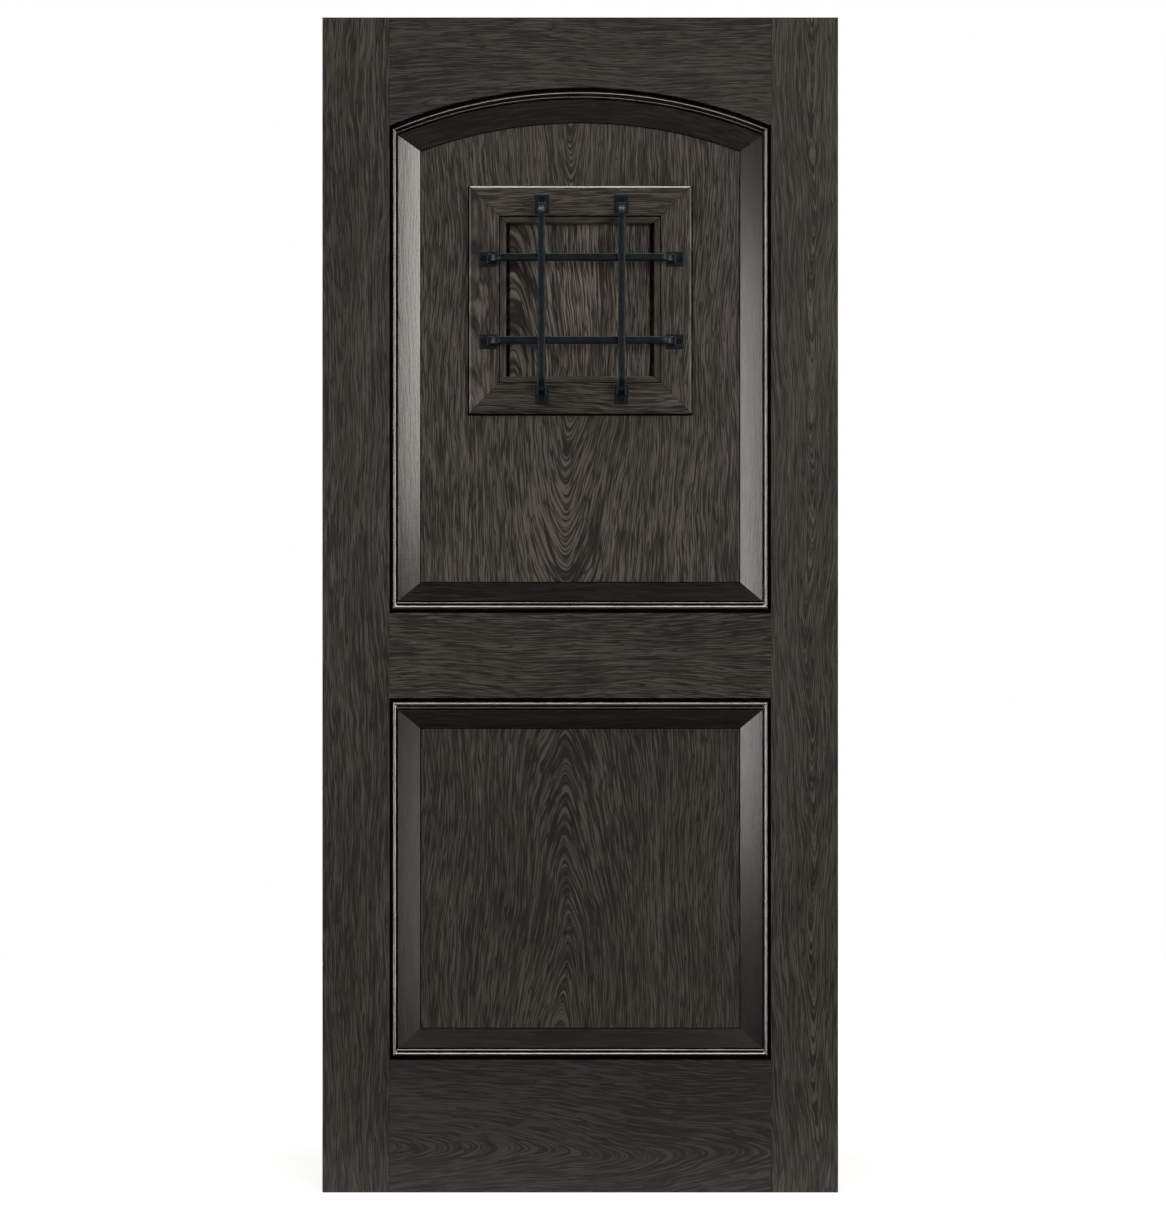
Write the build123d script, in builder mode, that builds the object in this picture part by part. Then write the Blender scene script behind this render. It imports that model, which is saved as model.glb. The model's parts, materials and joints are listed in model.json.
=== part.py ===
from build123d import *
from math import asin, degrees, sqrt
import os

# A bare stile-and-rail cellar door leaf with an arched upper panel, a square lower panel and a barred
# speakeasy, closed from the inner side by its own small hatch.
# X runs across the leaf from the hinge edge, Y from the barred outer face to the inner face, Z is up.
# The origin is on the hinge edge, at the foot of the leaf and at the middle of its thickness.
# All sizes are millimetres.

# The leaf and its frame
leaf_width = 914.4
leaf_height = 2082.8
leaf_thickness = 44.45
stile_width = 118.6
bottom_rail_height = 234.6
lower_opening_height = 641.9
lock_rail_height = 150.7
top_rail_side_height = 191.5
arch_rise = 67.8
edge_round = 1.2
joint_ease = 0.6

# Grooves in the frame and the panels that float in them
groove_width = 12.7
groove_depth = 12.7
panel_recess = 12.0
panel_play = 1.0
panel_shoulder_gap = 1.5

# The panel moulding, member by member from the opening's edge inwards
mould_width = 55.5
channel_floor = 5.5
outer_channel_width = 6.0
bead_width = 7.5
bead_depth = 1.0
bead_shoulder = 2.2
inner_channel_width = 1.6
fillet_width = 2.0
fillet_depth = 2.6
quirk_width = 1.6
ovolo_depth = 2.4
ovolo_crown = 2.2
ovolo_foot = 1.0

# The speakeasy: planted casing, inner bead, cut-out and hatch
casing_drop = 175.4
casing_outer_width = 394.0
casing_outer_height = 403.0
casing_width = 53.3
casing_thickness = 18.0
casing_round = 1.5
window_bead_width = 12.4
window_bead_setback = 3.0
window_bead_round = 4.0
window_bead_lap = 7.0
inner_casing_width = 58.0
hatch_hinge_gap = 5.4
hatch_free_gap = 7.2
hatch_end_gap = 5.0
hatch_stop_gap = 5.0
hatch_lip_cover = 5.0
hatch_lip_gap = 5.7
hatch_edge_round = 1.0

# The hatch's two surface hinges and its knob
hinge_height = 50.0
hinge_leaf_width = 28.0
hinge_leaf_thickness = 2.0
hinge_spacing = 160.0
knuckle_count = 3
knuckle_radius = 4.0
knuckle_wood_gap = 0.3
knuckle_end_gap = 0.3
hinge_pin_radius = 2.0
hinge_pin_clearance = 0.05
hinge_leaf_corner = 2.0
knob_edge_distance = 30.0
knob_sides = 8
knob_base_radius = 14.0
knob_base_height = 3.0
knob_base_bevel = 1.5
knob_neck_radius = 5.5
knob_neck_height = 10.0
knob_head_radius = 13.0
knob_head_bevel = 4.5
knob_length = 30.0

# The forged grille
bar_size = 12.7
bar_arris = 1.6
bend_radius = 14.0
rail_bar_standoff = 20.0
upright_spacing = 141.0
rail_bar_spacing = 146.0
grille_shift_across = 2.4
grille_shift_up = -1.5
upright_length = 370.0
rail_bar_length = 362.6
foot_length = 32.0
foot_width = 26.5
foot_thickness = 3.0
foot_corner = 1.5
foot_bare_length = 16.5
collar_step = 1.3
collar_height = 4.0

# Hinge gains and their screw pilots on the hidden hinge edge
gain_height = 101.6
gain_depth = 3.4
gain_backset = 6.35
top_gain_drop = 178.0
bottom_gain_rise = 279.0
pilot_radius = 2.0
pilot_depth = 30.0
outer_pilot_spacing = 76.2
inner_pilot_spacing = 25.4
outer_pilot_edge = 12.7
pilot_stagger = 12.0

# Places worked out from the sizes above
front_face = -leaf_thickness / 2
back_face = leaf_thickness / 2
panel_thickness = leaf_thickness - 2 * panel_recess
panel_front = -panel_thickness / 2
panel_back = panel_thickness / 2
tongue_depth = groove_depth - panel_play
centre_x = leaf_width / 2
far_stile_edge = leaf_width - stile_width
opening_half = centre_x - stile_width
lower_bottom = bottom_rail_height
lower_top = lower_bottom + lower_opening_height
upper_bottom = lower_top + lock_rail_height
spring_height = leaf_height - top_rail_side_height
arch_crown = spring_height + arch_rise
arch_radius = (opening_half**2 + arch_rise**2) / (2 * arch_rise)
arch_centre = arch_crown - arch_radius

casing_front = panel_front - casing_thickness
casing_half_width = casing_outer_width / 2
casing_half_height = casing_outer_height / 2
speakeasy_centre_height = arch_crown - casing_drop - casing_half_height
window_half_width = casing_half_width - casing_width - window_bead_width
window_half_height = casing_half_height - casing_width - window_bead_width
cutout_half_width = window_half_width
cutout_half_height = window_half_height + window_bead_lap
hatch_left = centre_x - cutout_half_width + hatch_hinge_gap
hatch_right = centre_x + cutout_half_width - hatch_free_gap
hatch_half_height = cutout_half_height - hatch_end_gap
hatch_front = panel_front + hatch_stop_gap
lip_front = panel_back + hatch_stop_gap
lip_half_width = cutout_half_width + hatch_lip_cover
lip_half_height = cutout_half_height + hatch_lip_cover
inner_casing_half_width = lip_half_width + hatch_lip_gap
inner_casing_half_height = lip_half_height + hatch_lip_gap
hinge_axis_x = centre_x - lip_half_width - hatch_lip_gap / 2
hinge_axis_y = back_face + knuckle_wood_gap + knuckle_radius

grille_x = centre_x + grille_shift_across
grille_z = speakeasy_centre_height + grille_shift_up
upright_standoff = rail_bar_standoff + bar_size
upright_places = (grille_x - upright_spacing / 2, grille_x + upright_spacing / 2)
rail_bar_places = (grille_z - rail_bar_spacing / 2, grille_z + rail_bar_spacing / 2)

os.makedirs("parts", exist_ok=True)


def save(piece, name):
    """Labels a finished piece and writes it as one file."""
    piece.label = name
    export_step(piece, f"parts/{name}.step")


def upper_outline(grow):
    """Draws the arched opening's outline in X and Z, moved outwards by grow; the arch stays concentric."""
    half = opening_half + grow
    radius = arch_radius + grow
    shoulder = arch_centre + sqrt(radius**2 - half**2)
    with BuildLine() as outline:
        Polyline(
            (centre_x - half, shoulder),
            (centre_x - half, upper_bottom - grow),
            (centre_x + half, upper_bottom - grow),
            (centre_x + half, shoulder),
        )
        ThreePointArc((centre_x + half, shoulder), (centre_x, arch_crown + grow), (centre_x - half, shoulder))
    make_face(outline.edges())


def lower_outline(grow):
    """Draws the square opening's outline in X and Z, moved outwards by grow."""
    with Locations((centre_x, (lower_bottom + lower_top) / 2)):
        Rectangle(2 * (opening_half + grow), lower_opening_height + 2 * grow)


def moulding_section():
    """Draws the panel moulding's section: local x inwards from the opening's edge, local y back from the face."""
    bead_start = outer_channel_width
    bead_end = bead_start + bead_width
    fillet_start = bead_end + inner_channel_width
    fillet_end = fillet_start + fillet_width
    ovolo_start = fillet_end + quirk_width
    ovolo_end_depth = panel_recess - ovolo_foot
    run, fall = mould_width - ovolo_start, ovolo_end_depth - ovolo_depth
    chord = sqrt(run**2 + fall**2)
    crown_point = (
        (ovolo_start + mould_width) / 2 + ovolo_crown * fall / chord,
        (ovolo_depth + ovolo_end_depth) / 2 - ovolo_crown * run / chord,
    )
    with BuildLine() as section:
        Polyline(
            (0, panel_recess),
            (0, channel_floor),
            (bead_start, channel_floor),
            (bead_start, bead_depth + bead_shoulder),
            (bead_start + bead_shoulder, bead_depth),
            (bead_end - bead_shoulder, bead_depth),
            (bead_end, bead_depth + bead_shoulder),
            (bead_end, channel_floor),
            (fillet_start, channel_floor),
            (fillet_start, fillet_depth),
            (fillet_end, fillet_depth),
            (fillet_end, channel_floor),
            (ovolo_start, channel_floor),
            (ovolo_start, ovolo_depth),
        )
        ThreePointArc((ovolo_start, ovolo_depth), crown_point, (mould_width, ovolo_end_depth))
        Polyline((mould_width, ovolo_end_depth), (mould_width, panel_recess), (0, panel_recess))
    make_face(section.edges())


def casing_section(width, thickness):
    """Draws a flat casing's section, seated on the panel, with both outer arrises rounded."""
    with Locations((0, panel_recess - thickness)):
        Rectangle(width, thickness, align=(Align.MIN, Align.MIN))
    fillet(vertices().group_by(Axis.Y)[0], casing_round)


def upright_run(draw_section, outer, width):
    """The left piece of a mitred frame: its section carried up from corner to corner and cut at 45 degrees."""
    x, low, high = outer[0], outer[1], outer[3]
    with BuildPart() as run:
        with BuildSketch(Plane(origin=(x, front_face, low), x_dir=(1, 0, 0), z_dir=(0, 0, 1))):
            draw_section()
        extrude(amount=high - low)
        with BuildSketch(Plane.XZ):
            with BuildLine():
                Polyline(
                    (x, low),
                    (x + width, low + width),
                    (x + width, high - width),
                    (x, high),
                    close=True,
                )
            make_face()
        extrude(amount=leaf_thickness, both=True, mode=Mode.INTERSECT)
    return run.part


def level_run(draw_section, outer, width):
    """The bottom piece of a mitred frame, carried across from corner to corner and cut at 45 degrees."""
    left, low, right = outer[0], outer[1], outer[2]
    with BuildPart() as run:
        with BuildSketch(Plane(origin=(right, front_face, low), x_dir=(0, 0, 1), z_dir=(-1, 0, 0))):
            draw_section()
        extrude(amount=right - left)
        with BuildSketch(Plane.XZ):
            with BuildLine():
                Polyline(
                    (left, low),
                    (left + width, low + width),
                    (right - width, low + width),
                    (right, low),
                    close=True,
                )
            make_face()
        extrude(amount=leaf_thickness, both=True, mode=Mode.INTERSECT)
    return run.part


def mirrored(piece, plane):
    """The same piece on the other side of a plane."""
    with BuildPart() as copy:
        mirror(piece, about=plane)
    return copy.part


def mitred_frame(draw_section, outer, width):
    """The four pieces of a mitred rectangular frame, named by the side that each lies on."""
    across = Plane.YZ.offset((outer[0] + outer[2]) / 2)
    level = Plane.XY.offset((outer[1] + outer[3]) / 2)
    left = upright_run(draw_section, outer, width)
    bottom = level_run(draw_section, outer, width)
    return {
        "left": left,
        "right": mirrored(left, across),
        "bottom": bottom,
        "top": mirrored(bottom, level),
    }


# The frame: stiles with a groove down their inner edge, rails with stub tenons as thick as that groove
with BuildPart() as plain_stile:
    Box(stile_width, leaf_thickness, leaf_height, align=(Align.MIN, Align.CENTER, Align.MIN))
    fillet(plain_stile.edges().filter_by(Axis.Z).group_by(Axis.X)[0], edge_round)
    chamfer(plain_stile.edges().filter_by(Axis.Z).group_by(Axis.X)[-1], joint_ease)
    with Locations((stile_width, 0, 0)):
        Box(
            groove_depth,
            groove_width,
            leaf_height,
            align=(Align.MAX, Align.CENTER, Align.MIN),
            mode=Mode.SUBTRACT,
        )

top_gain = leaf_height - top_gain_drop - gain_height / 2
bottom_gain = bottom_gain_rise + gain_height / 2
gain_heights = (bottom_gain, (bottom_gain + top_gain) / 2, top_gain)
outer_pilot_y = back_face - outer_pilot_edge
inner_pilot_y = outer_pilot_y - pilot_stagger

with BuildPart() as stile_left:
    add(plain_stile.part)
    with Locations(*[(0, back_face, z) for z in gain_heights]):
        Box(
            gain_depth,
            leaf_thickness - gain_backset,
            gain_height,
            align=(Align.MIN, Align.MAX, Align.CENTER),
            mode=Mode.SUBTRACT,
        )
    with BuildSketch(Plane.YZ.offset(gain_depth)):
        for z in gain_heights:
            with Locations((outer_pilot_y, z)):
                with GridLocations(0, outer_pilot_spacing, 1, 2):
                    Circle(pilot_radius)
            with Locations((inner_pilot_y, z)):
                with GridLocations(0, inner_pilot_spacing, 1, 2):
                    Circle(pilot_radius)
    extrude(amount=pilot_depth, mode=Mode.SUBTRACT)
save(stile_left.part, "stile_left")

with BuildPart() as stile_right:
    mirror(plain_stile.part, about=Plane.YZ.offset(centre_x))
save(stile_right.part, "stile_right")


def square_rail(low, high, grooved_low, grooved_high):
    """A rail between the stiles, with a stub tenon at each end and a groove along the edges that hold a panel."""
    with BuildPart() as rail:
        with Locations((centre_x, 0, low)):
            Box(2 * opening_half, leaf_thickness, high - low, align=(Align.CENTER, Align.CENTER, Align.MIN))
        chamfer(rail.edges().filter_by(Axis.Z), joint_ease)
        with Locations((centre_x, 0, low)):
            Box(
                2 * (opening_half + groove_depth),
                groove_width,
                high - low,
                align=(Align.CENTER, Align.CENTER, Align.MIN),
            )
        grooves = [low] * grooved_low + [high - groove_depth] * grooved_high
        with Locations(*[(centre_x, 0, z) for z in grooves]):
            Box(
                leaf_width,
                groove_width,
                groove_depth,
                align=(Align.CENTER, Align.CENTER, Align.MIN),
                mode=Mode.SUBTRACT,
            )
    return rail.part


save(square_rail(0, bottom_rail_height, False, True), "bottom_rail")
save(square_rail(lower_top, upper_bottom, True, True), "lock_rail")

with BuildPart() as top_rail:
    with Locations((centre_x, 0, leaf_height)):
        Box(
            2 * opening_half,
            leaf_thickness,
            leaf_height - spring_height,
            align=(Align.CENTER, Align.CENTER, Align.MAX),
        )
    chamfer(top_rail.edges().filter_by(Axis.Z), joint_ease)
    with Locations((centre_x, 0, leaf_height)):
        Box(
            2 * (opening_half + groove_depth),
            groove_width,
            leaf_height - spring_height,
            align=(Align.CENTER, Align.CENTER, Align.MAX),
        )
    with BuildSketch(Plane.XZ):
        with Locations((centre_x, arch_centre)):
            Circle(arch_radius)
    extrude(amount=leaf_thickness, both=True, mode=Mode.SUBTRACT)
    with BuildSketch(Plane.XZ):
        with Locations((centre_x, arch_centre)):
            Circle(arch_radius + groove_depth)
    extrude(amount=groove_width / 2, both=True, mode=Mode.SUBTRACT)
save(top_rail.part, "top_rail")

# The panels: a board as thick as the leaf less both recesses, with a thinner tongue all round
with BuildPart() as upper_panel:
    with BuildSketch(Plane.XZ):
        upper_outline(tongue_depth)
    extrude(amount=groove_width / 2, both=True)
    with BuildSketch(Plane.XZ):
        upper_outline(-panel_shoulder_gap)
    extrude(amount=panel_thickness / 2, both=True)
    with Locations((centre_x, 0, speakeasy_centre_height)):
        Box(2 * cutout_half_width, leaf_thickness, 2 * cutout_half_height, mode=Mode.SUBTRACT)
save(upper_panel.part, "upper_panel")

with BuildPart() as lower_panel:
    with BuildSketch(Plane.XZ):
        lower_outline(tongue_depth)
    extrude(amount=groove_width / 2, both=True)
    with BuildSketch(Plane.XZ):
        lower_outline(-panel_shoulder_gap)
    extrude(amount=panel_thickness / 2, both=True)
save(lower_panel.part, "lower_panel")

# The mouldings round the lower panel are one mitred rectangle on each face of the leaf
lower_outer = (stile_width, lower_bottom, far_stile_edge, lower_top)
lower_frame = mitred_frame(moulding_section, lower_outer, mould_width)


# Round the upper panel the side pieces meet the arch on a straight mitre, from the opening's corner to the field's
def arch_corner(inset):
    """The left corner where a side line and the arch meet, both moved inwards by inset."""
    half = opening_half - inset
    radius = arch_radius - inset
    return Vector(centre_x - half, arch_centre + sqrt(radius**2 - half**2))


mitre_overrun = 0.1
outer_corner = arch_corner(0)
inner_corner = arch_corner(mould_width)
overrun = (inner_corner - outer_corner) * mitre_overrun
left_mitre = [outer_corner - overrun, inner_corner + overrun]
right_mitre = [Vector(leaf_width - corner.X, corner.Y) for corner in left_mitre]
arch_sweep = 2 * asin(opening_half / arch_radius)
arch_start = Plane(
    origin=(centre_x - opening_half, front_face, spring_height),
    x_dir=(opening_half, 0, arch_centre - spring_height),
    z_dir=(spring_height - arch_centre, 0, opening_half),
)

with BuildPart() as upper_left:
    with BuildSketch(Plane(origin=(stile_width, front_face, upper_bottom), x_dir=(1, 0, 0), z_dir=(0, 0, 1))):
        moulding_section()
    extrude(amount=arch_crown - upper_bottom)
    with BuildSketch(Plane.XZ):
        with BuildLine():
            Polyline(
                left_mitre[0],
                left_mitre[1],
                (left_mitre[1].X, upper_bottom + left_mitre[1].X - stile_width),
                (left_mitre[0].X, upper_bottom + left_mitre[0].X - stile_width),
                close=True,
            )
        make_face()
    extrude(amount=leaf_thickness, both=True, mode=Mode.INTERSECT)

with BuildPart() as upper_arch:
    with BuildSketch(arch_start):
        moulding_section()
    revolve(axis=Axis((centre_x, 0, arch_centre), (0, 1, 0)), revolution_arc=degrees(arch_sweep))
    with BuildSketch(Plane.XZ):
        with BuildLine():
            Polyline(
                left_mitre[0],
                left_mitre[1],
                right_mitre[1],
                right_mitre[0],
                (right_mitre[0].X, leaf_height),
                (left_mitre[0].X, leaf_height),
                close=True,
            )
        make_face()
    extrude(amount=leaf_thickness, both=True, mode=Mode.INTERSECT)

upper_outer = (stile_width, upper_bottom, far_stile_edge, spring_height)
upper_frame = {
    "left": upper_left.part,
    "right": mirrored(upper_left.part, Plane.YZ.offset(centre_x)),
    "bottom": level_run(moulding_section, upper_outer, mould_width),
    "arch": upper_arch.part,
}

for panel_name, frame in (("upper", upper_frame), ("lower", lower_frame)):
    for side, piece in frame.items():
        save(piece, f"{panel_name}_moulding_{side}_front")
        save(mirrored(piece, Plane.XZ), f"{panel_name}_moulding_{side}_back")

# The outer casing of the speakeasy, planted on the panel
casing_outer = (
    centre_x - casing_half_width,
    speakeasy_centre_height - casing_half_height,
    centre_x + casing_half_width,
    speakeasy_centre_height + casing_half_height,
)
outer_casing = mitred_frame(lambda: casing_section(casing_width, casing_thickness), casing_outer, casing_width)
for side, piece in outer_casing.items():
    save(piece, f"speakeasy_casing_{side}_front")

# The inner casing frames the hatch's lip and lies flush with the leaf's inner face
inner_casing_outer = (
    centre_x - inner_casing_half_width - inner_casing_width,
    speakeasy_centre_height - inner_casing_half_height - inner_casing_width,
    centre_x + inner_casing_half_width + inner_casing_width,
    speakeasy_centre_height + inner_casing_half_height + inner_casing_width,
)
inner_casing = mitred_frame(
    lambda: casing_section(inner_casing_width, panel_recess), inner_casing_outer, inner_casing_width
)
for side, piece in inner_casing.items():
    save(mirrored(piece, Plane.XZ), f"speakeasy_casing_{side}_back")

# The bead inside the outer casing, one ring that laps over the cut-out at its head and sill
with BuildPart() as window_bead:
    with BuildSketch(Plane.XZ.offset(-panel_front)):
        with Locations((centre_x, speakeasy_centre_height)):
            Rectangle(2 * (window_half_width + window_bead_width), 2 * (window_half_height + window_bead_width))
            Rectangle(2 * window_half_width, 2 * window_half_height, mode=Mode.SUBTRACT)
    extrude(amount=casing_thickness - window_bead_setback)
    bead_front_edges = window_bead.faces().sort_by(Axis.Y)[0].inner_wires()[0].edges()
    fillet(bead_front_edges, window_bead_round)
save(window_bead.part, "speakeasy_bead")

# The hatch fills the cut-out behind the bead; its lip covers the gap round it from behind, flush with the casing
with BuildPart() as hatch_panel:
    with Locations((hatch_left, back_face, speakeasy_centre_height)):
        Box(
            hatch_right - hatch_left,
            back_face - hatch_front,
            2 * hatch_half_height,
            align=(Align.MIN, Align.MAX, Align.CENTER),
        )
    with Locations((centre_x, back_face, speakeasy_centre_height)):
        Box(
            2 * lip_half_width,
            back_face - lip_front,
            2 * lip_half_height,
            align=(Align.CENTER, Align.MAX, Align.CENTER),
        )
    face_edges = hatch_panel.faces().sort_by(Axis.Y)[0].edges() + hatch_panel.faces().sort_by(Axis.Y)[-1].edges()
    fillet(face_edges, hatch_edge_round)
save(hatch_panel.part, "hatch_panel")

# Three-knuckle surface hinges: the casing's leaf has the end knuckles and the pin, the hatch's leaf the middle one
hinge_heights = (
    speakeasy_centre_height - hinge_spacing / 2,
    speakeasy_centre_height + hinge_spacing / 2,
)
middle_knuckle = hinge_height / knuckle_count
leaf_clear = knuckle_radius + knuckle_end_gap
knuckle_centre = (hinge_axis_x, hinge_axis_y)


def hinge_leaf(direction, knuckle_spans):
    """Leaf plates on the wood at both hinge heights, reaching the barrel only at their own knuckles."""
    with BuildPart() as leaf:
        for z in hinge_heights:
            with BuildSketch(Plane.XZ.offset(-back_face)):
                with Locations((hinge_axis_x + direction * (leaf_clear + hinge_leaf_width) / 2, z)):
                    Rectangle(hinge_leaf_width - leaf_clear, hinge_height)
                chamfer(vertices(), hinge_leaf_corner)
            extrude(amount=-hinge_leaf_thickness)
            for low, high in knuckle_spans:
                with BuildSketch(Plane.XY.offset(z + low)):
                    with Locations(knuckle_centre):
                        Circle(knuckle_radius)
                    with Locations((hinge_axis_x + direction * leaf_clear, back_face)):
                        Rectangle(2 * leaf_clear, hinge_leaf_thickness, align=(Align.CENTER, Align.MIN))
                extrude(amount=high - low)
    return leaf.part


end_inner = middle_knuckle / 2 + knuckle_end_gap
end_outer = hinge_height / 2
with BuildPart() as fixed_leaves:
    add(hinge_leaf(-1, [(-end_outer, -end_inner), (end_inner, end_outer)]))
    for z in hinge_heights:
        with BuildSketch(Plane.XY.offset(z - end_outer)):
            with Locations(knuckle_centre):
                Circle(hinge_pin_radius)
        extrude(amount=hinge_height)
save(fixed_leaves.part, "hatch_hinge_casing_leaves")

with BuildPart() as moving_leaves:
    add(hinge_leaf(1, [(-middle_knuckle / 2, middle_knuckle / 2)]))
    for z in hinge_heights:
        with BuildSketch(Plane.XY.offset(z - middle_knuckle / 2)):
            with Locations(knuckle_centre):
                Circle(hinge_pin_radius + hinge_pin_clearance)
        extrude(amount=middle_knuckle, mode=Mode.SUBTRACT)
save(moving_leaves.part, "hatch_hinge_hatch_leaves")

# A forged eight-sided knob near the hatch's free edge: a bevelled plate, a neck and a head bevelled at both ends
knob_x = hatch_right - knob_edge_distance
knob_neck_top = knob_base_height + knob_neck_height
knob_foot = Plane(origin=(knob_x, back_face, speakeasy_centre_height), z_dir=(0, 1, 0))
with BuildPart() as knob_head:
    with BuildSketch(knob_foot.offset(knob_neck_top)):
        RegularPolygon(knob_head_radius, knob_sides)
    extrude(amount=knob_length - knob_neck_top)
    chamfer(knob_head.faces().filter_by(Axis.Y).edges(), knob_head_bevel)
with BuildPart() as knob:
    with BuildSketch(knob_foot):
        RegularPolygon(knob_base_radius, knob_sides)
    extrude(amount=knob_base_height)
    chamfer(knob.faces().sort_by(Axis.Y)[-1].edges(), knob_base_bevel)
    with BuildSketch(knob_foot.offset(knob_base_height)):
        RegularPolygon(knob_neck_radius, knob_sides)
    extrude(amount=knob_neck_height)
    add(knob_head.part)
save(knob.part, "hatch_knob")


def grille_bar(centre, along, half_length, standoff):
    """A square bar bent back at both ends on to flat feet: along is the bar's direction in X and Z."""
    across = Vector(along[1], 0, along[0])
    run = Vector(along[0], 0, along[1])
    middle = Vector(centre[0], casing_front, centre[1])
    leg_reach = half_length - foot_bare_length - bar_size / 2
    out = Vector(0, -1, 0)
    with BuildPart() as bar:
        with BuildLine() as path:
            FilletPolyline(
                middle - run * leg_reach,
                middle - run * leg_reach + out * standoff,
                middle + run * leg_reach + out * standoff,
                middle + run * leg_reach,
                radius=bend_radius,
            )
        with BuildSketch(Plane(origin=path.line @ 0, x_dir=across, z_dir=out)):
            Rectangle(bar_size, bar_size)
            chamfer(vertices(), bar_arris)
        sweep()
        for end in (-1, 1):
            outer_end = middle + run * (end * half_length)
            foot_plane = Plane(origin=outer_end, x_dir=run * -end, z_dir=out)
            with BuildSketch(foot_plane):
                with Locations((foot_length / 2, 0)):
                    Rectangle(foot_length, foot_width)
                chamfer(vertices(), foot_corner)
            extrude(amount=foot_thickness)
            with BuildSketch(foot_plane):
                with Locations((foot_bare_length + bar_size / 2, 0)):
                    Rectangle(bar_size + 2 * collar_step, bar_size + 2 * collar_step)
            extrude(amount=foot_thickness + collar_height)
    return bar.part


for name, x in zip(("left", "right"), upright_places):
    upright = grille_bar((x, speakeasy_centre_height), (0, 1), upright_length / 2, upright_standoff)
    save(upright, f"grille_upright_{name}")
for name, z in zip(("lower", "upper"), rail_bar_places):
    rail_bar = grille_bar((grille_x, z), (1, 0), rail_bar_length / 2, rail_bar_standoff)
    save(rail_bar, f"grille_crossbar_{name}")
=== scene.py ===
import json
import math

import bpy
import numpy as np
from bpy.props import FloatProperty, FloatVectorProperty, PointerProperty
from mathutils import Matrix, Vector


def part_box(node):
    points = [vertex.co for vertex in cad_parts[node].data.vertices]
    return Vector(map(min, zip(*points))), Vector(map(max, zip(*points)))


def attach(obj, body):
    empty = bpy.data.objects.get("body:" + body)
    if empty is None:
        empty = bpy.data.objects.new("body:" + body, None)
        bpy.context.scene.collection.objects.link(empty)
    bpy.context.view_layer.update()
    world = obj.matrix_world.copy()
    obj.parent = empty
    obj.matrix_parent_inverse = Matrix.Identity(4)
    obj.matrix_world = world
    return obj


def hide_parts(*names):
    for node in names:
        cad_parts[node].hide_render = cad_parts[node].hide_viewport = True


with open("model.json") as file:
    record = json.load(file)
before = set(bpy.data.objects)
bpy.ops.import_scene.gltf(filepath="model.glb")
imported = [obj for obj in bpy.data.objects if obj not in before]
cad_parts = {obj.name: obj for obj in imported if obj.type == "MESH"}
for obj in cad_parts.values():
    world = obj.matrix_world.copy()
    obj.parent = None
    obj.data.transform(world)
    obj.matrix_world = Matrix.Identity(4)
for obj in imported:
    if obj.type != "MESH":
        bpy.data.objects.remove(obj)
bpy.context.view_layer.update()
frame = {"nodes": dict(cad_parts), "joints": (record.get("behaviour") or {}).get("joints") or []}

bl_info = {
    "name": "Cellar Door",
    "version": (1, 0, 0),
    "blender": (4, 5, 0),
    "location": "3D View > Sidebar > Cellar Door",
    "description": "Dresses a barred cellar door leaf in charcoal stained oak and forged iron",
    "category": "Object",
}

MM = 0.001
X, Y, Z = np.eye(3)

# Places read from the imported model, in metres
STILE_LEFT, STILE_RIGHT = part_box("stile_left"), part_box("stile_right")
FACE_FRONT, FACE_BACK = STILE_LEFT[0].y, STILE_LEFT[1].y
OPENING_LEFT, OPENING_RIGHT = STILE_LEFT[1].x, STILE_RIGHT[0].x
MIDDLE_X = (OPENING_LEFT + OPENING_RIGHT) / 2
OPENING_HALF = (OPENING_RIGHT - OPENING_LEFT) / 2
LOWER_BOTTOM, LOWER_TOP = (corner.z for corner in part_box("lower_moulding_left_front"))
UPPER_BOTTOM, SPRING = (corner.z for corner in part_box("upper_moulding_left_front"))
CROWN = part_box("upper_moulding_arch_front")[1].z
ARCH_RADIUS = (OPENING_HALF**2 + (CROWN - SPRING) ** 2) / (2 * (CROWN - SPRING))
ARCH_CENTRE = CROWN - ARCH_RADIUS
MOULD_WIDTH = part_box("lower_moulding_left_front")[1].x - OPENING_LEFT
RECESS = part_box("upper_panel")[0].y - FACE_FRONT
PANEL_FRONT, PANEL_BACK = FACE_FRONT + RECESS, FACE_BACK - RECESS
CASING_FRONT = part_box("speakeasy_casing_left_front")[0].y

# Each face's name, its y, the y of the panel there, and the sign that leads into the wood
FACES = (("front", FACE_FRONT, PANEL_FRONT, 1), ("back", FACE_BACK, PANEL_BACK, -1))

GRILLE = ("grille_upright_left", "grille_upright_right", "grille_crossbar_lower", "grille_crossbar_upper")


def shade(red, green, blue):
    """A colour written as it looks on screen, 0 to 255, turned into the linear values that a shader takes."""
    screen = np.array([red, green, blue]) / 255
    return np.where(screen <= 0.04045, screen / 12.92, ((screen + 0.055) / 1.055) ** 2.4).tolist()


def length_setting(name, description, millimetres):
    """A length that can be changed in the sidebar, given here in millimetres."""
    size = millimetres * MM
    return FloatProperty(name=name, description=description, default=size, unit="LENGTH", precision=4)


def colour_setting(name, description, red, green, blue):
    """A colour that can be changed in the sidebar, given here as it looks on screen."""
    look = {"default": shade(red, green, blue), "subtype": "COLOR", "min": 0, "max": 1}
    return FloatVectorProperty(name=name, description=description, **look)


def share_setting(name, description, value, top=1.0):
    """A plain number from nought to top."""
    return FloatProperty(name=name, description=description, default=value, min=0.0, max=top)


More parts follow.
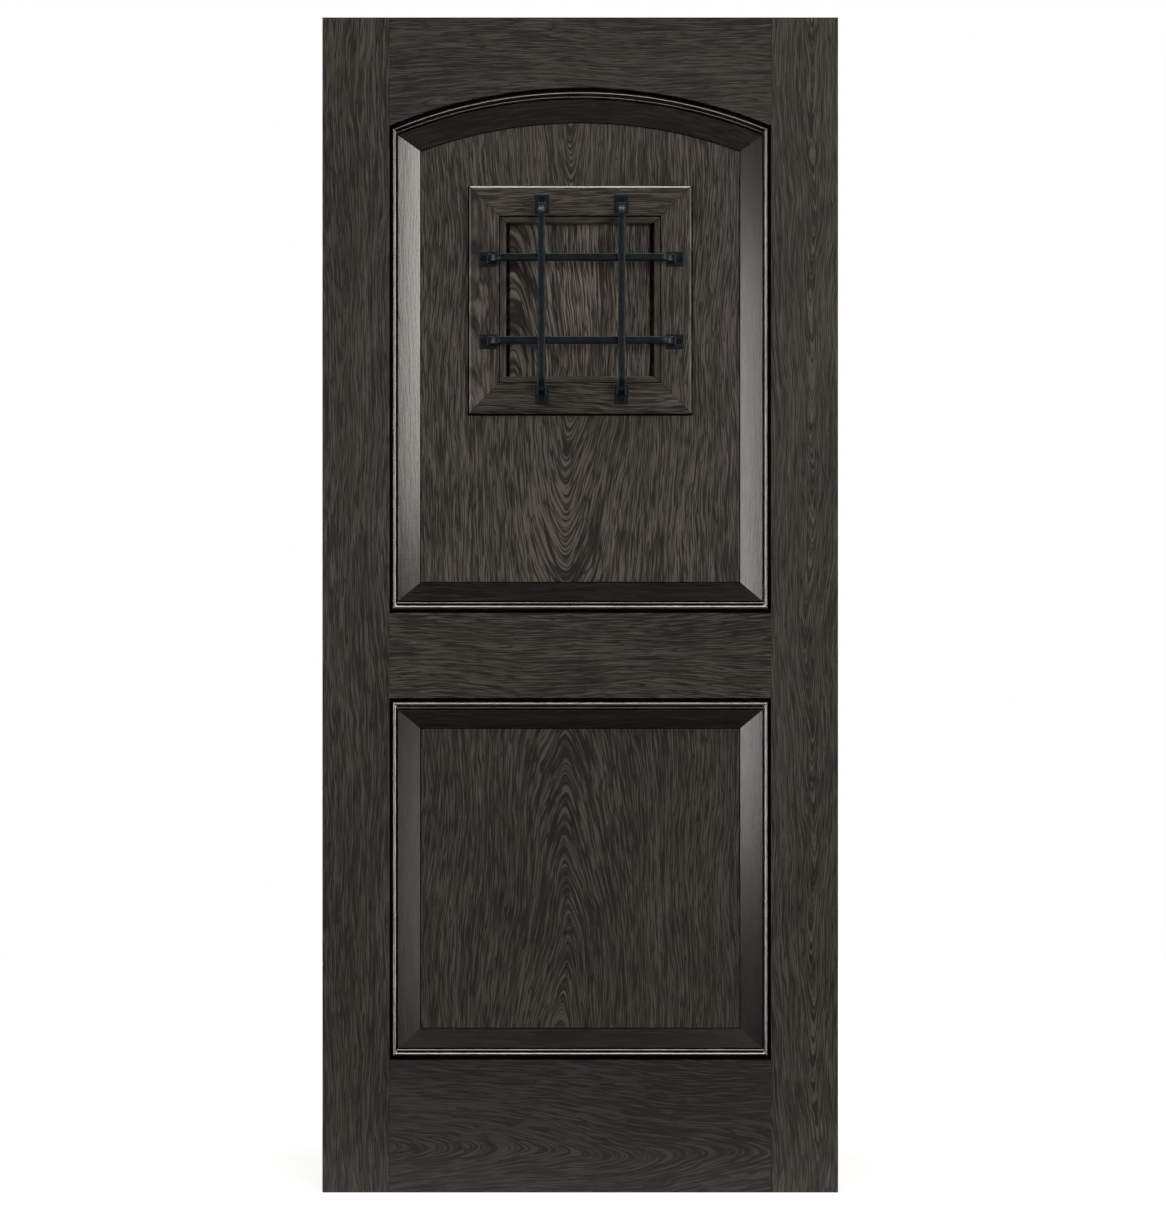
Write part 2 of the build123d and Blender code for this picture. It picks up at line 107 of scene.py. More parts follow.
class CellarDoorJoinery(bpy.types.PropertyGroup):
    groove_width: length_setting("Groove width", "Channel between the frame and the bead", 6.0)
    groove_floor: length_setting("Groove floor", "Depth of the channels below the frame's face", 9.5)
    bead_width: length_setting("Bead width", "Width of the roof shaped bead", 7.5)
    bead_depth: length_setting("Bead depth", "How far the bead's top lies below the frame's face", 0.3)
    quirk_width: length_setting("Quirk width", "Each narrow channel beside the fillet", 1.6)
    fillet_width: length_setting("Fillet width", "Strip between the two quirks", 2.0)
    fillet_depth: length_setting("Fillet depth", "How far the fillet lies below the frame's face", 1.4)
    ovolo_depth: length_setting("Ovolo depth", "Start of the wide curved face below the frame's face", 2.0)
    ovolo_crown: length_setting("Ovolo crown", "How far the wide face bulges from its chord", 0.2)
    foot_height: length_setting("Foot height", "Height of the wide face's end over the panel", 1.1)
    foot_width: length_setting("Foot width", "Width of the thin strip left on the panel", 2.4)
    arch_width: length_setting("Arch moulding width", "Width of the moulding round the arch", 61.5)
    casing_slope: length_setting("Casing slope", "Width of the slope on the outer casing's outer edge", 4.2)
    casing_round: length_setting("Casing round", "Radius of the outer casing's inner edge", 0.9)
    inner_casing_round: length_setting("Inner casing round", "Radius of the inner casing's edges", 1.5)
    window_bead_width: length_setting("Window bead width", "Width of the bead inside the outer casing", 12.4)
    window_bead_slope: length_setting("Window bead slope", "Slope on the window bead's outer edge", 1.0)
    window_bead_round: length_setting("Window bead arris", "Radius of the window bead's inner edge", 4.0)
    joint_gap: length_setting("Mitre ease", "How far each mitred end is eased back at its face", 0.7)
    # width of the dark strips of painted shade round the casing and between the casing and the bead
    stain_line: length_setting("Stain line", "Width of the line of stain gathered round the casing", 2.8)


class CellarDoorIron(bpy.types.PropertyGroup):
    bar_size: length_setting("Bar size", "Side of the square bars", 12.7)
    bar_round: length_setting("Bar arris", "Radius of the bars' long edges", 2.0)
    bend_radius: length_setting("Bend radius", "Largest radius of a bend on the bar's centre line", 23.0)
    foot_length: length_setting("Foot length", "Length of the plate under each bar's end", 32.0)
    foot_width: length_setting("Foot width", "Width of the plate under each bar's end", 26.5)
    foot_thickness: length_setting("Foot thickness", "Thickness of the plate under each bar's end", 3.0)
    foot_corner: length_setting("Foot corner", "Radius of the plate's corners", 2.4)
    foot_round: length_setting("Foot arris", "Radius of the plate's upper edge", 1.1)
    foot_bare: length_setting("Bare foot", "Length of the plate beyond the bar", 16.5)
    collar_step: length_setting("Collar step", "How far the collar stands round the bar", 2.6)
    collar_height: length_setting("Collar height", "Height of the collar on the plate", 4.0)
    collar_corner: length_setting("Collar corner", "Radius of the collar's corners", 2.6)
    collar_round: length_setting("Collar arris", "Radius of the collar's upper edge", 2.0)
    hammer_depth: length_setting("Hammer marks", "Depth of the forged surface's unevenness", 0.22)
    screw_radius: length_setting("Screw head", "Radius of the grille's flush screw heads", 4.4)
    star_radius: length_setting("Star recess", "Mean radius of the screws' star shaped recess", 2.9)
    hinge_height: length_setting("Hinge height", "Height of each of the hatch's hinges", 50.0)
    hinge_thickness: length_setting("Hinge thickness", "Thickness of the hinges' plates", 2.0)
    hinge_corner: length_setting("Hinge corner", "Radius of the hinge plates' corners", 2.6)
    hinge_gap: length_setting("Hinge gap", "Room between the knuckles and the plates' edges", 0.3)
    hinge_screw: length_setting("Hinge screw", "Radius of the hinges' screw heads", 3.4)


class CellarDoorFinish(bpy.types.PropertyGroup):
    oak_dark: colour_setting("Oak pores", "Stain lying in pores and in the dark grain", 19, 16, 13)
    oak_middle: colour_setting("Oak", "The charcoal stain's middle tone", 46, 42, 37)
    oak_light: colour_setting("Oak ridges", "Brushed ridges of the grain", 84, 79, 72)
    # painted shade: the mouldings' tones are far darker than the frame's oak, standing for the shade on the
    # mouldings' faces
    moulding_dark: colour_setting("Moulding pores", "Dark grain of the mouldings", 7, 6, 5)
    moulding_middle: colour_setting("Moulding", "The mouldings' middle tone", 17, 14, 11)
    moulding_light: colour_setting("Moulding ridges", "Light grain of the mouldings", 40, 33, 27)
    iron_dark: colour_setting("Iron hollows", "Scale in the hollows of the forged iron", 17, 22, 26)
    iron_light: colour_setting("Iron faces", "Rubbed faces of the forged iron", 31, 39, 47)
    coat: share_setting("Varnish", "Strength of the satin varnish over the oak", 0.15)
    coat_roughness: share_setting("Varnish roughness", "Roughness of the satin varnish", 0.26)
    rubbed_roughness: share_setting("Rubbed roughness", "Roughness of the varnish on mitred pieces", 0.19)


class CellarDoorStage(bpy.types.PropertyGroup):
    camera_distance: length_setting("Camera distance", "From the leaf's front face to the camera", 4000.0)
    camera_x: length_setting("Camera across", "Camera's place across the leaf", 462.1)
    camera_height: length_setting("Camera height", "Camera's height above the floor", 1033.4)
    camera_view: length_setting("View height", "Height that the picture spans at the leaf's face", 2160.6)
    right_box: share_setting("Right softbox", "Brightness of the high softbox on the right", 4.1, 50.0)
    left_box: share_setting("Left softbox", "Brightness of the tall softbox on the left", 3.9, 50.0)
    top_box: share_setting("Top softbox", "Brightness of the softbox overhead", 9.0, 50.0)
    side_strips: share_setting("Side strips", "Brightness of the narrow strip on each side", 9.0, 50.0)
    back_box: share_setting("Back softboxes", "Brightness of the two softboxes behind", 4.0, 50.0)
    front_glow: share_setting("Front glow", "Brightness of the room round the camera", 0.05, 5.0)
    bands: share_setting("Bands", "Brightness of the bands above and below the camera", 0.065, 5.0)
    room: share_setting("Room", "Brightness of the rest of the room", 0.015, 5.0)


class CellarDoorSettings(bpy.types.PropertyGroup):
    joinery: PointerProperty(type=CellarDoorJoinery)
    iron: PointerProperty(type=CellarDoorIron)
    finish: PointerProperty(type=CellarDoorFinish)
    stage: PointerProperty(type=CellarDoorStage)


# Meshes: whole arrays of points, joined into closed shells


def shell(rings):
    """A closed shell from m rings of n points each, an array of shape (m, n, 3).

    Quads join point j of ring i to its neighbours on the next ring, the ring closing on itself, and one flat
    many-sided face closes each end. Returns the points and the faces, facing outwards: the faces are turned
    round where the sum over all faces of a . (b x c) / 6, the volume that they enclose, comes out negative.
    """
    rows, around = rings.shape[:2]
    points = rings.reshape(-1, 3)
    index = np.arange(rows * around).reshape(rows, around)
    here, across = index[:-1], np.roll(index[:-1], -1, axis=1)
    beyond, diagonal = index[1:], np.roll(index[1:], -1, axis=1)
    quads = np.stack([here, across, diagonal, beyond], axis=-1).reshape(-1, 4)
    corners = points[quads] - points.mean(axis=0)
    volume = np.einsum("ij,ij->", corners[:, 0], np.cross(corners[:, 1], corners[:, 2]))
    volume += np.einsum("ij,ij->", corners[:, 0], np.cross(corners[:, 2], corners[:, 3]))
    for cap in (index[0][::-1], index[-1]):
        rim = points[cap] - points.mean(axis=0)
        volume += np.einsum("ij,ij->", np.broadcast_to(rim[0], rim[1:-1].shape), np.cross(rim[1:-1], rim[2:]))
    faces = quads.tolist() + [index[0][::-1].tolist(), index[-1].tolist()]
    if volume < 0:
        faces = [face[::-1] for face in faces]
    return points, faces


def joined(shells):
    """Several shells as one: all their points, and all their faces, each moved on by the points before it."""
    faces, start = [], 0
    for points, made in shells:
        faces += [[start + corner for corner in face] for face in made]
        start += len(points)
    return np.concatenate([points for points, _ in shells]), faces


def piece(name, mesh_parts, material, body, node=None, grain=None, gathered=None, smooth_angle=35):
    """A new object of points and faces that rides on its body and stands in for its node, if it has one.

    grain, where it is given, is each point's place in its board, stored as the attribute grain_place.
    Where a share of painted shade is given for each point, from nought to one, it is stored as an attribute.
    The piece is smooth except where faces meet past smooth_angle.
    """
    points, faces = mesh_parts
    mesh = bpy.data.meshes.new(name)
    mesh.from_pydata(np.asarray(points).tolist(), [], faces)
    if grain is not None:
        attribute = mesh.attributes.new("grain_place", "FLOAT_VECTOR", "POINT")
        attribute.data.foreach_set("vector", np.asarray(grain, np.float32).ravel())
    # painted shade: how far each point is painted dark in place of the shade that falls there
    if gathered is not None:
        attribute = mesh.attributes.new("gathered_stain", "FLOAT", "POINT")
        attribute.data.foreach_set("value", np.asarray(gathered, np.float32).ravel())
    mesh.shade_smooth()
    mesh.set_sharp_from_angle(angle=math.radians(smooth_angle))
    mesh.materials.append(material)
    made = bpy.data.objects.new(name, mesh)
    bpy.context.scene.collection.objects.link(made)
    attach(made, body)
    if node:
        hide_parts(node)


def eased(corners, radius, steps=4):
    """An open line of corners with each inner corner rounded, all by one radius or each by its own.

    For a corner C with neighbours A and B, the curve (1 - t)^2 P + 2 t (1 - t) C + t^2 Q replaces it, where P
    and Q lie radius away from C towards A and B, and never past a third of the way. One more point stands a
    little before P and after Q, so that the flats beside a rounded corner are shaded flat.
    """
    corners = np.asarray(corners, float)
    before, here, after = corners[:-2], corners[1:-1], corners[2:]
    back, on = before - here, after - here
    radii = np.broadcast_to(radius, len(here))[:, None]
    start = here + back * np.minimum(radii / np.linalg.norm(back, axis=1)[:, None], 1 / 3)
    end = here + on * np.minimum(radii / np.linalg.norm(on, axis=1)[:, None], 1 / 3)
    t = np.linspace(0, 1, steps + 1)[None, :, None]
    curve = (1 - t) ** 2 * start[:, None] + 2 * t * (1 - t) * here[:, None] + t**2 * end[:, None]
    first, last = start + (before - start) * 0.15, end + (after - end) * 0.15
    curve = np.concatenate([first[:, None], curve, last[:, None]], axis=1)
    return np.concatenate([corners[:1], curve.reshape(-1, 2), corners[-1:]])


def arc(start, end, bulge, steps):
    """Points of the circular arc from start to end, its middle standing bulge off to the chord's left.

    The circle's radius is (h^2 + bulge^2) / (2 bulge), where h is half the chord and longer than the bulge.
    """
    start, end = np.asarray(start, float), np.asarray(end, float)
    half = np.linalg.norm(end - start) / 2
    along = (end - start) / (2 * half)
    left = np.array([-along[1], along[0]])
    radius = (half**2 + bulge**2) / (2 * bulge)
    centre = (start + end) / 2 + left * (bulge - radius)
    turn = math.asin(half / radius)
    angle = np.linspace(-turn, turn, steps + 1)[:, None]
    return centre + radius * (np.sin(angle) * along + np.cos(angle) * left)


def backed(front, depth):
    """A section's front line closed into a loop by a flat back at this depth."""
    return np.concatenate([front, np.stack([front[::-1, 0], np.full(len(front), depth)], axis=1)])


def rounded_rectangle(half_width, half_height, radius, steps):
    """A closed outline of a rectangle whose corners are quarter circles, as an array of points."""
    angle = np.linspace(0, math.pi / 2, steps + 1)
    quarter = np.stack([np.cos(angle), np.sin(angle)], axis=1) * radius
    corner = np.array([half_width - radius, half_height - radius])
    turns = [np.array([[c, s], [-s, c]]) for c, s in ((1, 0), (0, 1), (-1, 0), (0, -1))]
    signs = [(1, 1), (-1, 1), (-1, -1), (1, -1)]
    return np.concatenate([quarter @ turn + corner * sign for turn, sign in zip(turns, signs)])


def plate(centre, axes, half_width, half_length, corner, levels, shrink=0.5, steps=5):
    """A closed shell of outlines laid one on the other, one for each (height, inset) of levels.

    axes are the directions across, along and out of the seat. A point is centre + x across + y along + height
    out, where (x, y) lies on the rectangle less the inset, its corners' radius less shrink times the inset.
    """
    least = min(corner, 0.3 * MM)
    rings = []
    for height, inset in levels:
        radius = max(corner - inset * shrink, least)
        outline = rounded_rectangle(half_width - inset, half_length - inset, radius, steps)
        rings.append(centre + outline @ axes[:2] + height * axes[2])
    return shell(np.stack(rings))


def turned(centre, axes, rows, around):
    """A closed shell of rings round the last of three axes, one for each (reach, height) of rows.

    A point is centre + reach (cos a across + sin a along) + height out; reach is one number, or one for each
    of the angles a around the ring.
    """
    angle = np.linspace(0, 2 * math.pi, around, endpoint=False)
    circle = np.outer(np.cos(angle), axes[0]) + np.outer(np.sin(angle), axes[1])
    reach = np.stack([np.broadcast_to(reach, around) for reach, _ in rows])[..., None]
    rise = np.array([height for _, height in rows])[:, None, None]
    return shell(centre + reach * circle + rise * axes[2])


def hammered(points, depth, seed, pitch=0.011):
    """Points moved by a smooth unevenness: on each axis the mean of eight sine waves of about this pitch."""
    random = np.random.default_rng(seed)
    waves = random.normal(size=(8, 3, 3))
    lengths = pitch * random.uniform(0.7, 1.8, (8, 1, 3))
    waves *= 2 * math.pi / lengths / np.linalg.norm(waves, axis=1, keepdims=True)
    phases = random.uniform(0, 2 * math.pi, (8, 3))
    moves = np.sin(np.einsum("...c,kca->...ka", points, waves) + phases).mean(axis=-2)
    return points + moves * depth * 2.2


# Materials


class Graph:
    """Adds nodes to one tree, and links what is passed to their inputs."""

    def __init__(self, tree):
        self.tree = tree
        tree.nodes.clear()

    def add(self, kind, values=None, **settings):
        """A node with these settings; values go to its inputs by name or number, as links or constants."""
        made = self.tree.nodes.new(kind)
        for name, value in settings.items():
            setattr(made, name, value)
        for socket, value in (values or {}).items():
            if isinstance(value, bpy.types.NodeSocket):
                self.tree.links.new(value, made.inputs[socket])
            else:
                made.inputs[socket].default_value = value
        return made

    def math(self, operation, first, second=0.0, third=0.0):
        """One sum on numbers."""
        return self.add("ShaderNodeMath", {0: first, 1: second, 2: third}, operation=operation).outputs[0]

    def swung(self, value, amount, base=0.0, about=0.5):
        """The base plus amount times the value's distance from about."""
        return self.math("MULTIPLY_ADD", self.math("SUBTRACT", value, about), amount, base)

    def scaled(self, place, scale):
        """A place stretched by three factors."""
        return self.add("ShaderNodeVectorMath", {0: place, 1: scale}, operation="MULTIPLY").outputs[0]

    def noise(self, place, scale, detail=1.0, roughness=0.5):
        """Smooth noise about a half, one unit of the scaled place to a feature."""
        values = {"Vector": self.scaled(place, scale), "Scale": 1.0, "Detail": detail, "Roughness": roughness}
        return self.add("ShaderNodeTexNoise", values).outputs["Fac"]

    def spread(self, value, low, high):
        """A value from low to high taken to the range from nought to one, with soft ends."""
        values = {"Value": value, "From Min": low, "From Max": high}
        return self.add("ShaderNodeMapRange", values, interpolation_type="SMOOTHSTEP").outputs["Result"]

    def mix(self, factor, first, second):
        """A blend of two colours."""
        return self.add("ShaderNodeMix", {0: factor, 6: first, 7: second}, data_type="RGBA").outputs[2]

    def bump(self, strength, distance, height):
        """A normal bent by this height."""
        values = {"Strength": strength, "Distance": distance, "Height": height}
        return self.add("ShaderNodeBump", values).outputs["Normal"]

    def surface(self, **values):
        """The material's shader; an underscore in a value's name stands for the space in its input's name."""
        values = {name.replace("_", " "): value for name, value in values.items()}
        shader = self.add("ShaderNodeBsdfPrincipled", values)
        self.add("ShaderNodeOutputMaterial", {"Surface": shader.outputs["BSDF"]})


def new_material(name):
    """An empty material and the graph of its nodes."""
    material = bpy.data.materials.new(name)
    material.use_nodes = True
    return material, Graph(material.node_tree)


def opaque(colour):
    """A colour with full opacity."""
    return (*colour, 1.0)


def oak_grain():
    """The grain that every oak piece shares, as a node group.

    Place is metres from the tree's heart line: x and y across it, z along it. The ring radius is the root of
    x^2 + y^2 after a slow wander of x, plus Taper times z, so a board cut flat beside the heart shows pointed
    arches and one cut far from it shows straight lines: the taper fades with x, by 1 / (1 + (14 x)^2). Bands,
    streaks, thin dark lines and pores are noises of the ring radius, drawn out along z.
    """
    group = bpy.data.node_groups.new("oak_grain", "ShaderNodeTree")
    for name, kind in (("Place", "NodeSocketVector"), ("Taper", "NodeSocketFloat")):
        group.interface.new_socket(name, in_out="INPUT", socket_type=kind)
    for name in ("Tone", "Pores", "Height"):
        group.interface.new_socket(name, in_out="OUTPUT", socket_type="NodeSocketFloat")
    graph = Graph(group)
    given = graph.add("NodeGroupInput")
    place = given.outputs["Place"]
    wander = graph.noise(place, (5.0, 5.0, 2.2))
    ripple = graph.noise(place, (45.0, 45.0, 17.0))
    x, y, z = graph.add("ShaderNodeSeparateXYZ", {0: place}).outputs
    across = graph.math("ADD", x, graph.swung(ripple, 0.007, graph.swung(wander, 0.07)))
    radius = graph.math("SQRT", graph.math("MULTIPLY_ADD", across, across, graph.math("MULTIPLY", y, y)))
    far = graph.math("MULTIPLY", across, 14.0)
    taper = graph.math("DIVIDE", given.outputs["Taper"], graph.math("MULTIPLY_ADD", far, far, 1.0))
    ring = graph.math("MULTIPLY_ADD", z, taper, radius)
    ringed = graph.add("ShaderNodeCombineXYZ", {0: ring, 1: across, 2: z}).outputs[0]
    bands = graph.noise(ringed, (110.0, 3.0, 2.5))
    streaks = graph.noise(ringed, (560.0, 8.0, 15.0), 1.5, 0.6)
    lines = graph.math("ABSOLUTE", graph.math("SUBTRACT", graph.noise(ringed, (270.0, 9.0, 12.0), 1.5), 0.5))
    lines = graph.spread(lines, 0.0, 0.07)
    pores = graph.spread(graph.noise(ringed, (800.0, 18.0, 26.0)), 0.55, 0.66)
    patches = graph.noise(place, (9.0, 9.0, 4.0))
    tone = graph.swung(streaks, 2.6, graph.swung(bands, 0.55, 0.5))
    tone = graph.swung(patches, 0.5, graph.swung(lines, 0.6, tone, about=0.74))
    height = graph.math("MULTIPLY_ADD", pores, -0.7, tone)
    graph.add("NodeGroupOutput", {"Tone": tone, "Pores": pores, "Height": height})


UPRIGHT = (0.0, 0.0, 0.0)
LEVEL = (0.0, -math.pi / 2, 0.0)


def oak(
    name, colours, taper, turn=UPRIGHT, moved=(0, 0, 0), contrast=1.25, wear=0.4, gloss=0.0, mitred=False
):
    """Charcoal stained, brushed oak under a satin varnish.

    colours are the dark, middle and light tones. A plain board stands in the model's own coordinates, and a
    mapping turns and moves it on to its heart line. A mitred piece carries its place in its board as
    grain_place, and its varnish is rubbed. Where a piece carries painted shade, the wood is painted darker and
    its varnish is taken off, in place of the shade in its hollows.
    """
    finish = bpy.context.scene.cellar_door.finish
    material, graph = new_material(name)
    if mitred:
        source = graph.add("ShaderNodeAttribute", attribute_name="grain_place").outputs["Vector"]
    else:
        source = graph.add("ShaderNodeTexCoord").outputs["Object"]
    place = graph.add("ShaderNodeMapping", {"Vector": source, "Location": moved, "Rotation": turn}).outputs[0]
    shared = bpy.data.node_groups["oak_grain"]
    grain = graph.add("ShaderNodeGroup", {"Place": place, "Taper": taper}, node_tree=shared).outputs
    tone = graph.swung(grain["Tone"], contrast, 0.5)
    dark, middle, light = (opaque(colour) for colour in colours)
    colour = graph.mix(graph.spread(tone, 0.05, 0.5), dark, middle)
    colour = graph.mix(graph.spread(tone, 0.45, 0.98), colour, light)
    colour = graph.mix(graph.math("MULTIPLY", grain["Pores"], 0.75), colour, dark)
    # painted shade: where a piece carries it, the colour is painted near black and the varnish is taken off
    gathered = graph.add("ShaderNodeAttribute", attribute_name="gathered_stain").outputs["Fac"]
    weight = finish.coat + gloss * (1 - finish.coat)
    relief = 0.6 * MM
    graph.surface(
        Base_Color=graph.mix(gathered, colour, opaque([value * 0.15 for value in colours[0]])),
        Roughness=graph.math("MULTIPLY_ADD", tone, -0.14, 0.6),
        Specular_IOR_Level=0.3 - 0.25 * gloss,
        Normal=graph.bump(wear, relief, grain["Height"]),
        Coat_Weight=graph.math("MULTIPLY_ADD", gathered, -weight, weight),
        Coat_Roughness=finish.rubbed_roughness if mitred else finish.coat_roughness,
        Coat_IOR=1.5 + 0.25 * gloss,
        Coat_Normal=graph.bump(wear * 0.08, relief, grain["Height"]),
    )
    return material


def matt(name, colour):
    """A dull, even coat of one colour."""
    material, graph = new_material(name)
    graph.surface(Base_Color=opaque(colour), Roughness=1.0, Specular_IOR_Level=0.0)
    return material


def iron(name, roughness=0.42):
    """Blackened forged iron: blue-black scale, rubbed lighter in patches, with fine pits."""
    finish = bpy.context.scene.cellar_door.finish
    material, graph = new_material(name)
    place = graph.add("ShaderNodeTexCoord").outputs["Object"]
    patches = graph.noise(place, (60.0, 60.0, 60.0), 3.0, 0.6)
    scale = graph.noise(place, (260.0, 260.0, 260.0), 3.0, 0.65)
    pits = graph.noise(place, (700.0, 700.0, 700.0))
    tone = graph.math("MULTIPLY_ADD", scale, 0.5, graph.math("MULTIPLY", patches, 0.5))
    height = graph.math("MULTIPLY_ADD", graph.spread(pits, 0.56, 0.7), -0.5, scale)
    dark, light = opaque(finish.iron_dark), opaque(finish.iron_light)
    graph.surface(
        Base_Color=graph.mix(graph.spread(tone, 0.36, 0.64), dark, light),
        Metallic=0.9,
        Roughness=graph.math("MULTIPLY_ADD", graph.spread(tone, 0.4, 0.62), -0.16, roughness + 0.08),
        Normal=graph.bump(0.5, 0.4 * MM, height),
        Coat_Weight=0.2,
        Coat_Roughness=0.3,
    )
    return material


def paint_node(node, material):
    """Gives a carried-over solid its material in every slot."""
    mesh = frame["nodes"][node].data
    mesh.materials.clear()
    mesh.materials.append(material)


def tones(kind, factor=1.0):
    """The dark, middle and light tones of the oak or of the mouldings, all changed by one factor."""
    finish = bpy.context.scene.cellar_door.finish
    colours = [getattr(finish, f"{kind}_{tone}") for tone in ("dark", "middle", "light")]
    return [tuple(min(1.0, value * factor) for value in colour) for colour in colours]


# Operators, one for each piece or group of like pieces


class CELLARDOOR_OT_boards(bpy.types.Operator):
    """Stains the stiles, the rails, the two panels and the hatch, each cut from its own board"""

    bl_idname = "cellar_door.boards"
    bl_label = "Frame, Panels and Hatch"

    def execute(self, context):
        oak_grain()
        # node, tint, taper, turn, how the heart line lies (across, behind, along); the tint is partly each
        # board's own tone and partly painted light: the right stile lighter than the left, the upper panel
        # lighter than the lower and the hatch lighter still, to match how the lamps light them
        boards = (
            ("stile_left", 0.7, 0.03, UPRIGHT, (0.09, 0.06, -1.4)),
            ("stile_right", 0.82, -0.07, UPRIGHT, (-0.868, 0.03, 0.6)),
            ("top_rail", 0.6, 0.05, LEVEL, (2.16, 0.06, -0.6)),
            ("lock_rail", 0.78, 0.05, LEVEL, (1.12, 0.07, -0.4)),
            ("bottom_rail", 0.4, 0.15, LEVEL, (0.07, 0.04, -0.5)),
            ("upper_panel", 1.12, -0.2, UPRIGHT, (-0.44, 0.022, -1.4)),
            ("lower_panel", 0.76, 0.18, UPRIGHT, (-0.43, 0.022, -0.4)),
            ("hatch_panel", 1.95, 0.1, UPRIGHT, (-0.33, 0.09, -1.6)),
        )
        for node, board_tone_and_painted_light, *lie in boards:
            paint_node(node, oak(node + "_oak", tones("oak", board_tone_and_painted_light), *lie))
        return {"FINISHED"}


def moulding_section():
    """The panel moulding as a closed loop of (inset, depth), and how much painted shade lies on each point.

    From the opening's edge in: a channel, a bead like a low roof, two narrow quirks with a sloping fillet
    between them, a wide curved face, an upright end and a thin strip on the panel. The channels' floors
    and the strip carry painted shade, in place of the shade that falls there.
    """
    sizes = bpy.context.scene.cellar_door.joinery
    floor, bead_top, fillet_top = sizes.groove_floor, sizes.bead_depth, sizes.fillet_depth
    bead_start, bead_end = sizes.groove_width, sizes.groove_width + sizes.bead_width
    fillet_start = bead_end + sizes.quirk_width
    fillet_end = fillet_start + sizes.fillet_width
    ovolo_start = fillet_end + sizes.quirk_width
    ovolo_end = MOULD_WIDTH - sizes.foot_width
    shoulder = sizes.bead_width * 0.47
    bead_side = bead_top + shoulder * 0.8
    outer_slope, inner_slope = sizes.fillet_width * 0.25, sizes.fillet_width * 0.55
    tiny, small = 0.25 * MM, 0.5 * MM
    channel = eased([(0, RECESS), (0, floor), (bead_start, floor), (bead_start, bead_side)], tiny)
    ridge = [(bead_start + shoulder, bead_top), (bead_end - shoulder, bead_top)]
    bead = eased([(bead_start, bead_side), *ridge, (bead_end, bead_side)], sizes.bead_width * 0.1)
    quirk = [(bead_end, bead_side), (bead_end, floor), (fillet_start, floor)]
    fillet = [
        (fillet_start, fillet_top + outer_slope),
        (fillet_start + outer_slope, fillet_top),
        (fillet_end - inner_slope, fillet_top),
        (fillet_end, fillet_top + inner_slope * 1.15),
    ]
    inner_quirk = [(fillet_end, floor), (ovolo_start, floor), (ovolo_start, sizes.ovolo_depth + small)]
    between = eased([*quirk, *fillet, *inner_quirk], tiny)
    face_end = (ovolo_end, RECESS - sizes.foot_height)
    face = arc((ovolo_start + small, sizes.ovolo_depth), face_end, -sizes.ovolo_crown, 20)
    foot = np.array([(ovolo_end, RECESS - tiny), (MOULD_WIDTH, RECESS - tiny), (MOULD_WIDTH, RECESS)])
    section = backed(np.concatenate([channel, bead[1:-1], between, face, foot]), RECESS)
    inset, depth = section.T
    # painted shade on the floors of the channel and the quirks, and on the thin strip over the panel
    gathered = ((depth > floor - 0.1 * MM) & (inset <= ovolo_start)) | (depth > RECESS - 0.4 * MM)
    return section, gathered.astype(float)


# Where the bead, the first quirk, the fillet, the second quirk, the wide face and the strip start, in
# millimetres in from the opening's edge
UPRIGHT_MEMBERS = (6.0, 12.2, 13.4, 14.0, 15.2, 54.0)
LEVEL_MEMBERS = (6.2, 14.6, 16.2, 19.2, 21.2, 54.2)
ARCH_MEMBERS = (6.2, 14.6, 16.2, 19.6, 21.6, 60.0)


def members_shifted(section, starts, width, pitch):
    """A section of another width whose members start at other insets: each inset moves in step between them.

    The slopes of the bead and of the fillet fall pitch times as far.
    """
    sizes = bpy.context.scene.cellar_door.joinery
    quirk = sizes.quirk_width
    steps = [0, sizes.groove_width, sizes.bead_width, quirk, sizes.fillet_width, quirk]
    usual = np.append(np.cumsum(steps), [MOULD_WIDTH - sizes.foot_width, MOULD_WIDTH])
    inset, depth = section.T
    raised = (inset >= usual[1]) & (inset <= usual[4]) & (depth < sizes.groove_floor * 0.6)
    top = np.where(inset <= usual[2], sizes.bead_depth, sizes.fillet_depth)
    new_inset = np.interp(inset, usual, np.array([0, *starts, width / MM]) * MM)
    return np.stack([new_inset, np.where(raised, top + (depth - top) * pitch, depth)], axis=1)


def mitred_frame(sections, edges, depth_of, share, top=None):
    """The straight runs of a mitred frame: each one's side, its sign, its rings and its places along.

    sections holds the (inset, depth) points of each side's section, edges the frame's left, right, bottom and
    top. Each point goes from where it meets the like point of one neighbour to where it meets that of the
    other, at the shares of the way. top, where it is given, is where the uprights' points end instead.
    """
    upright, level = sections["left"][:, 0], sections["bottom"][:, 0]
    left, right, low, high = edges
    heights = (low + level, high - level if top is None else top)
    widths = (left + upright, right - upright)
    for side, edge, sign in zip(("left", "right", "bottom", "top"), edges, (1, -1, 1, -1)):
        if side in sections:
            is_upright = side in ("left", "right")
            start, end = heights if is_upright else widths
            along = start * (1 - share) + end * share
            beside = np.broadcast_to(edge + sign * sections[side][:, 0], along.shape)
            depth = np.broadcast_to(depth_of(sections[side]), along.shape)
            place = (beside, depth, along) if is_upright else (along, depth, beside)
            yield side, sign, np.stack(place, axis=-1), along


def grain_in_board(rings, along, moved, ring=0):
    """Each point's place in its board: across it as on the given ring, through it and along it, and moved."""
    section = rings[ring] - rings[ring, 0]
    across = np.broadcast_to(np.linalg.norm(section[:, [0, 2]], axis=1), along.shape)
    return np.stack([across, rings[..., 1], along], axis=-1).reshape(-1, 3) + moved


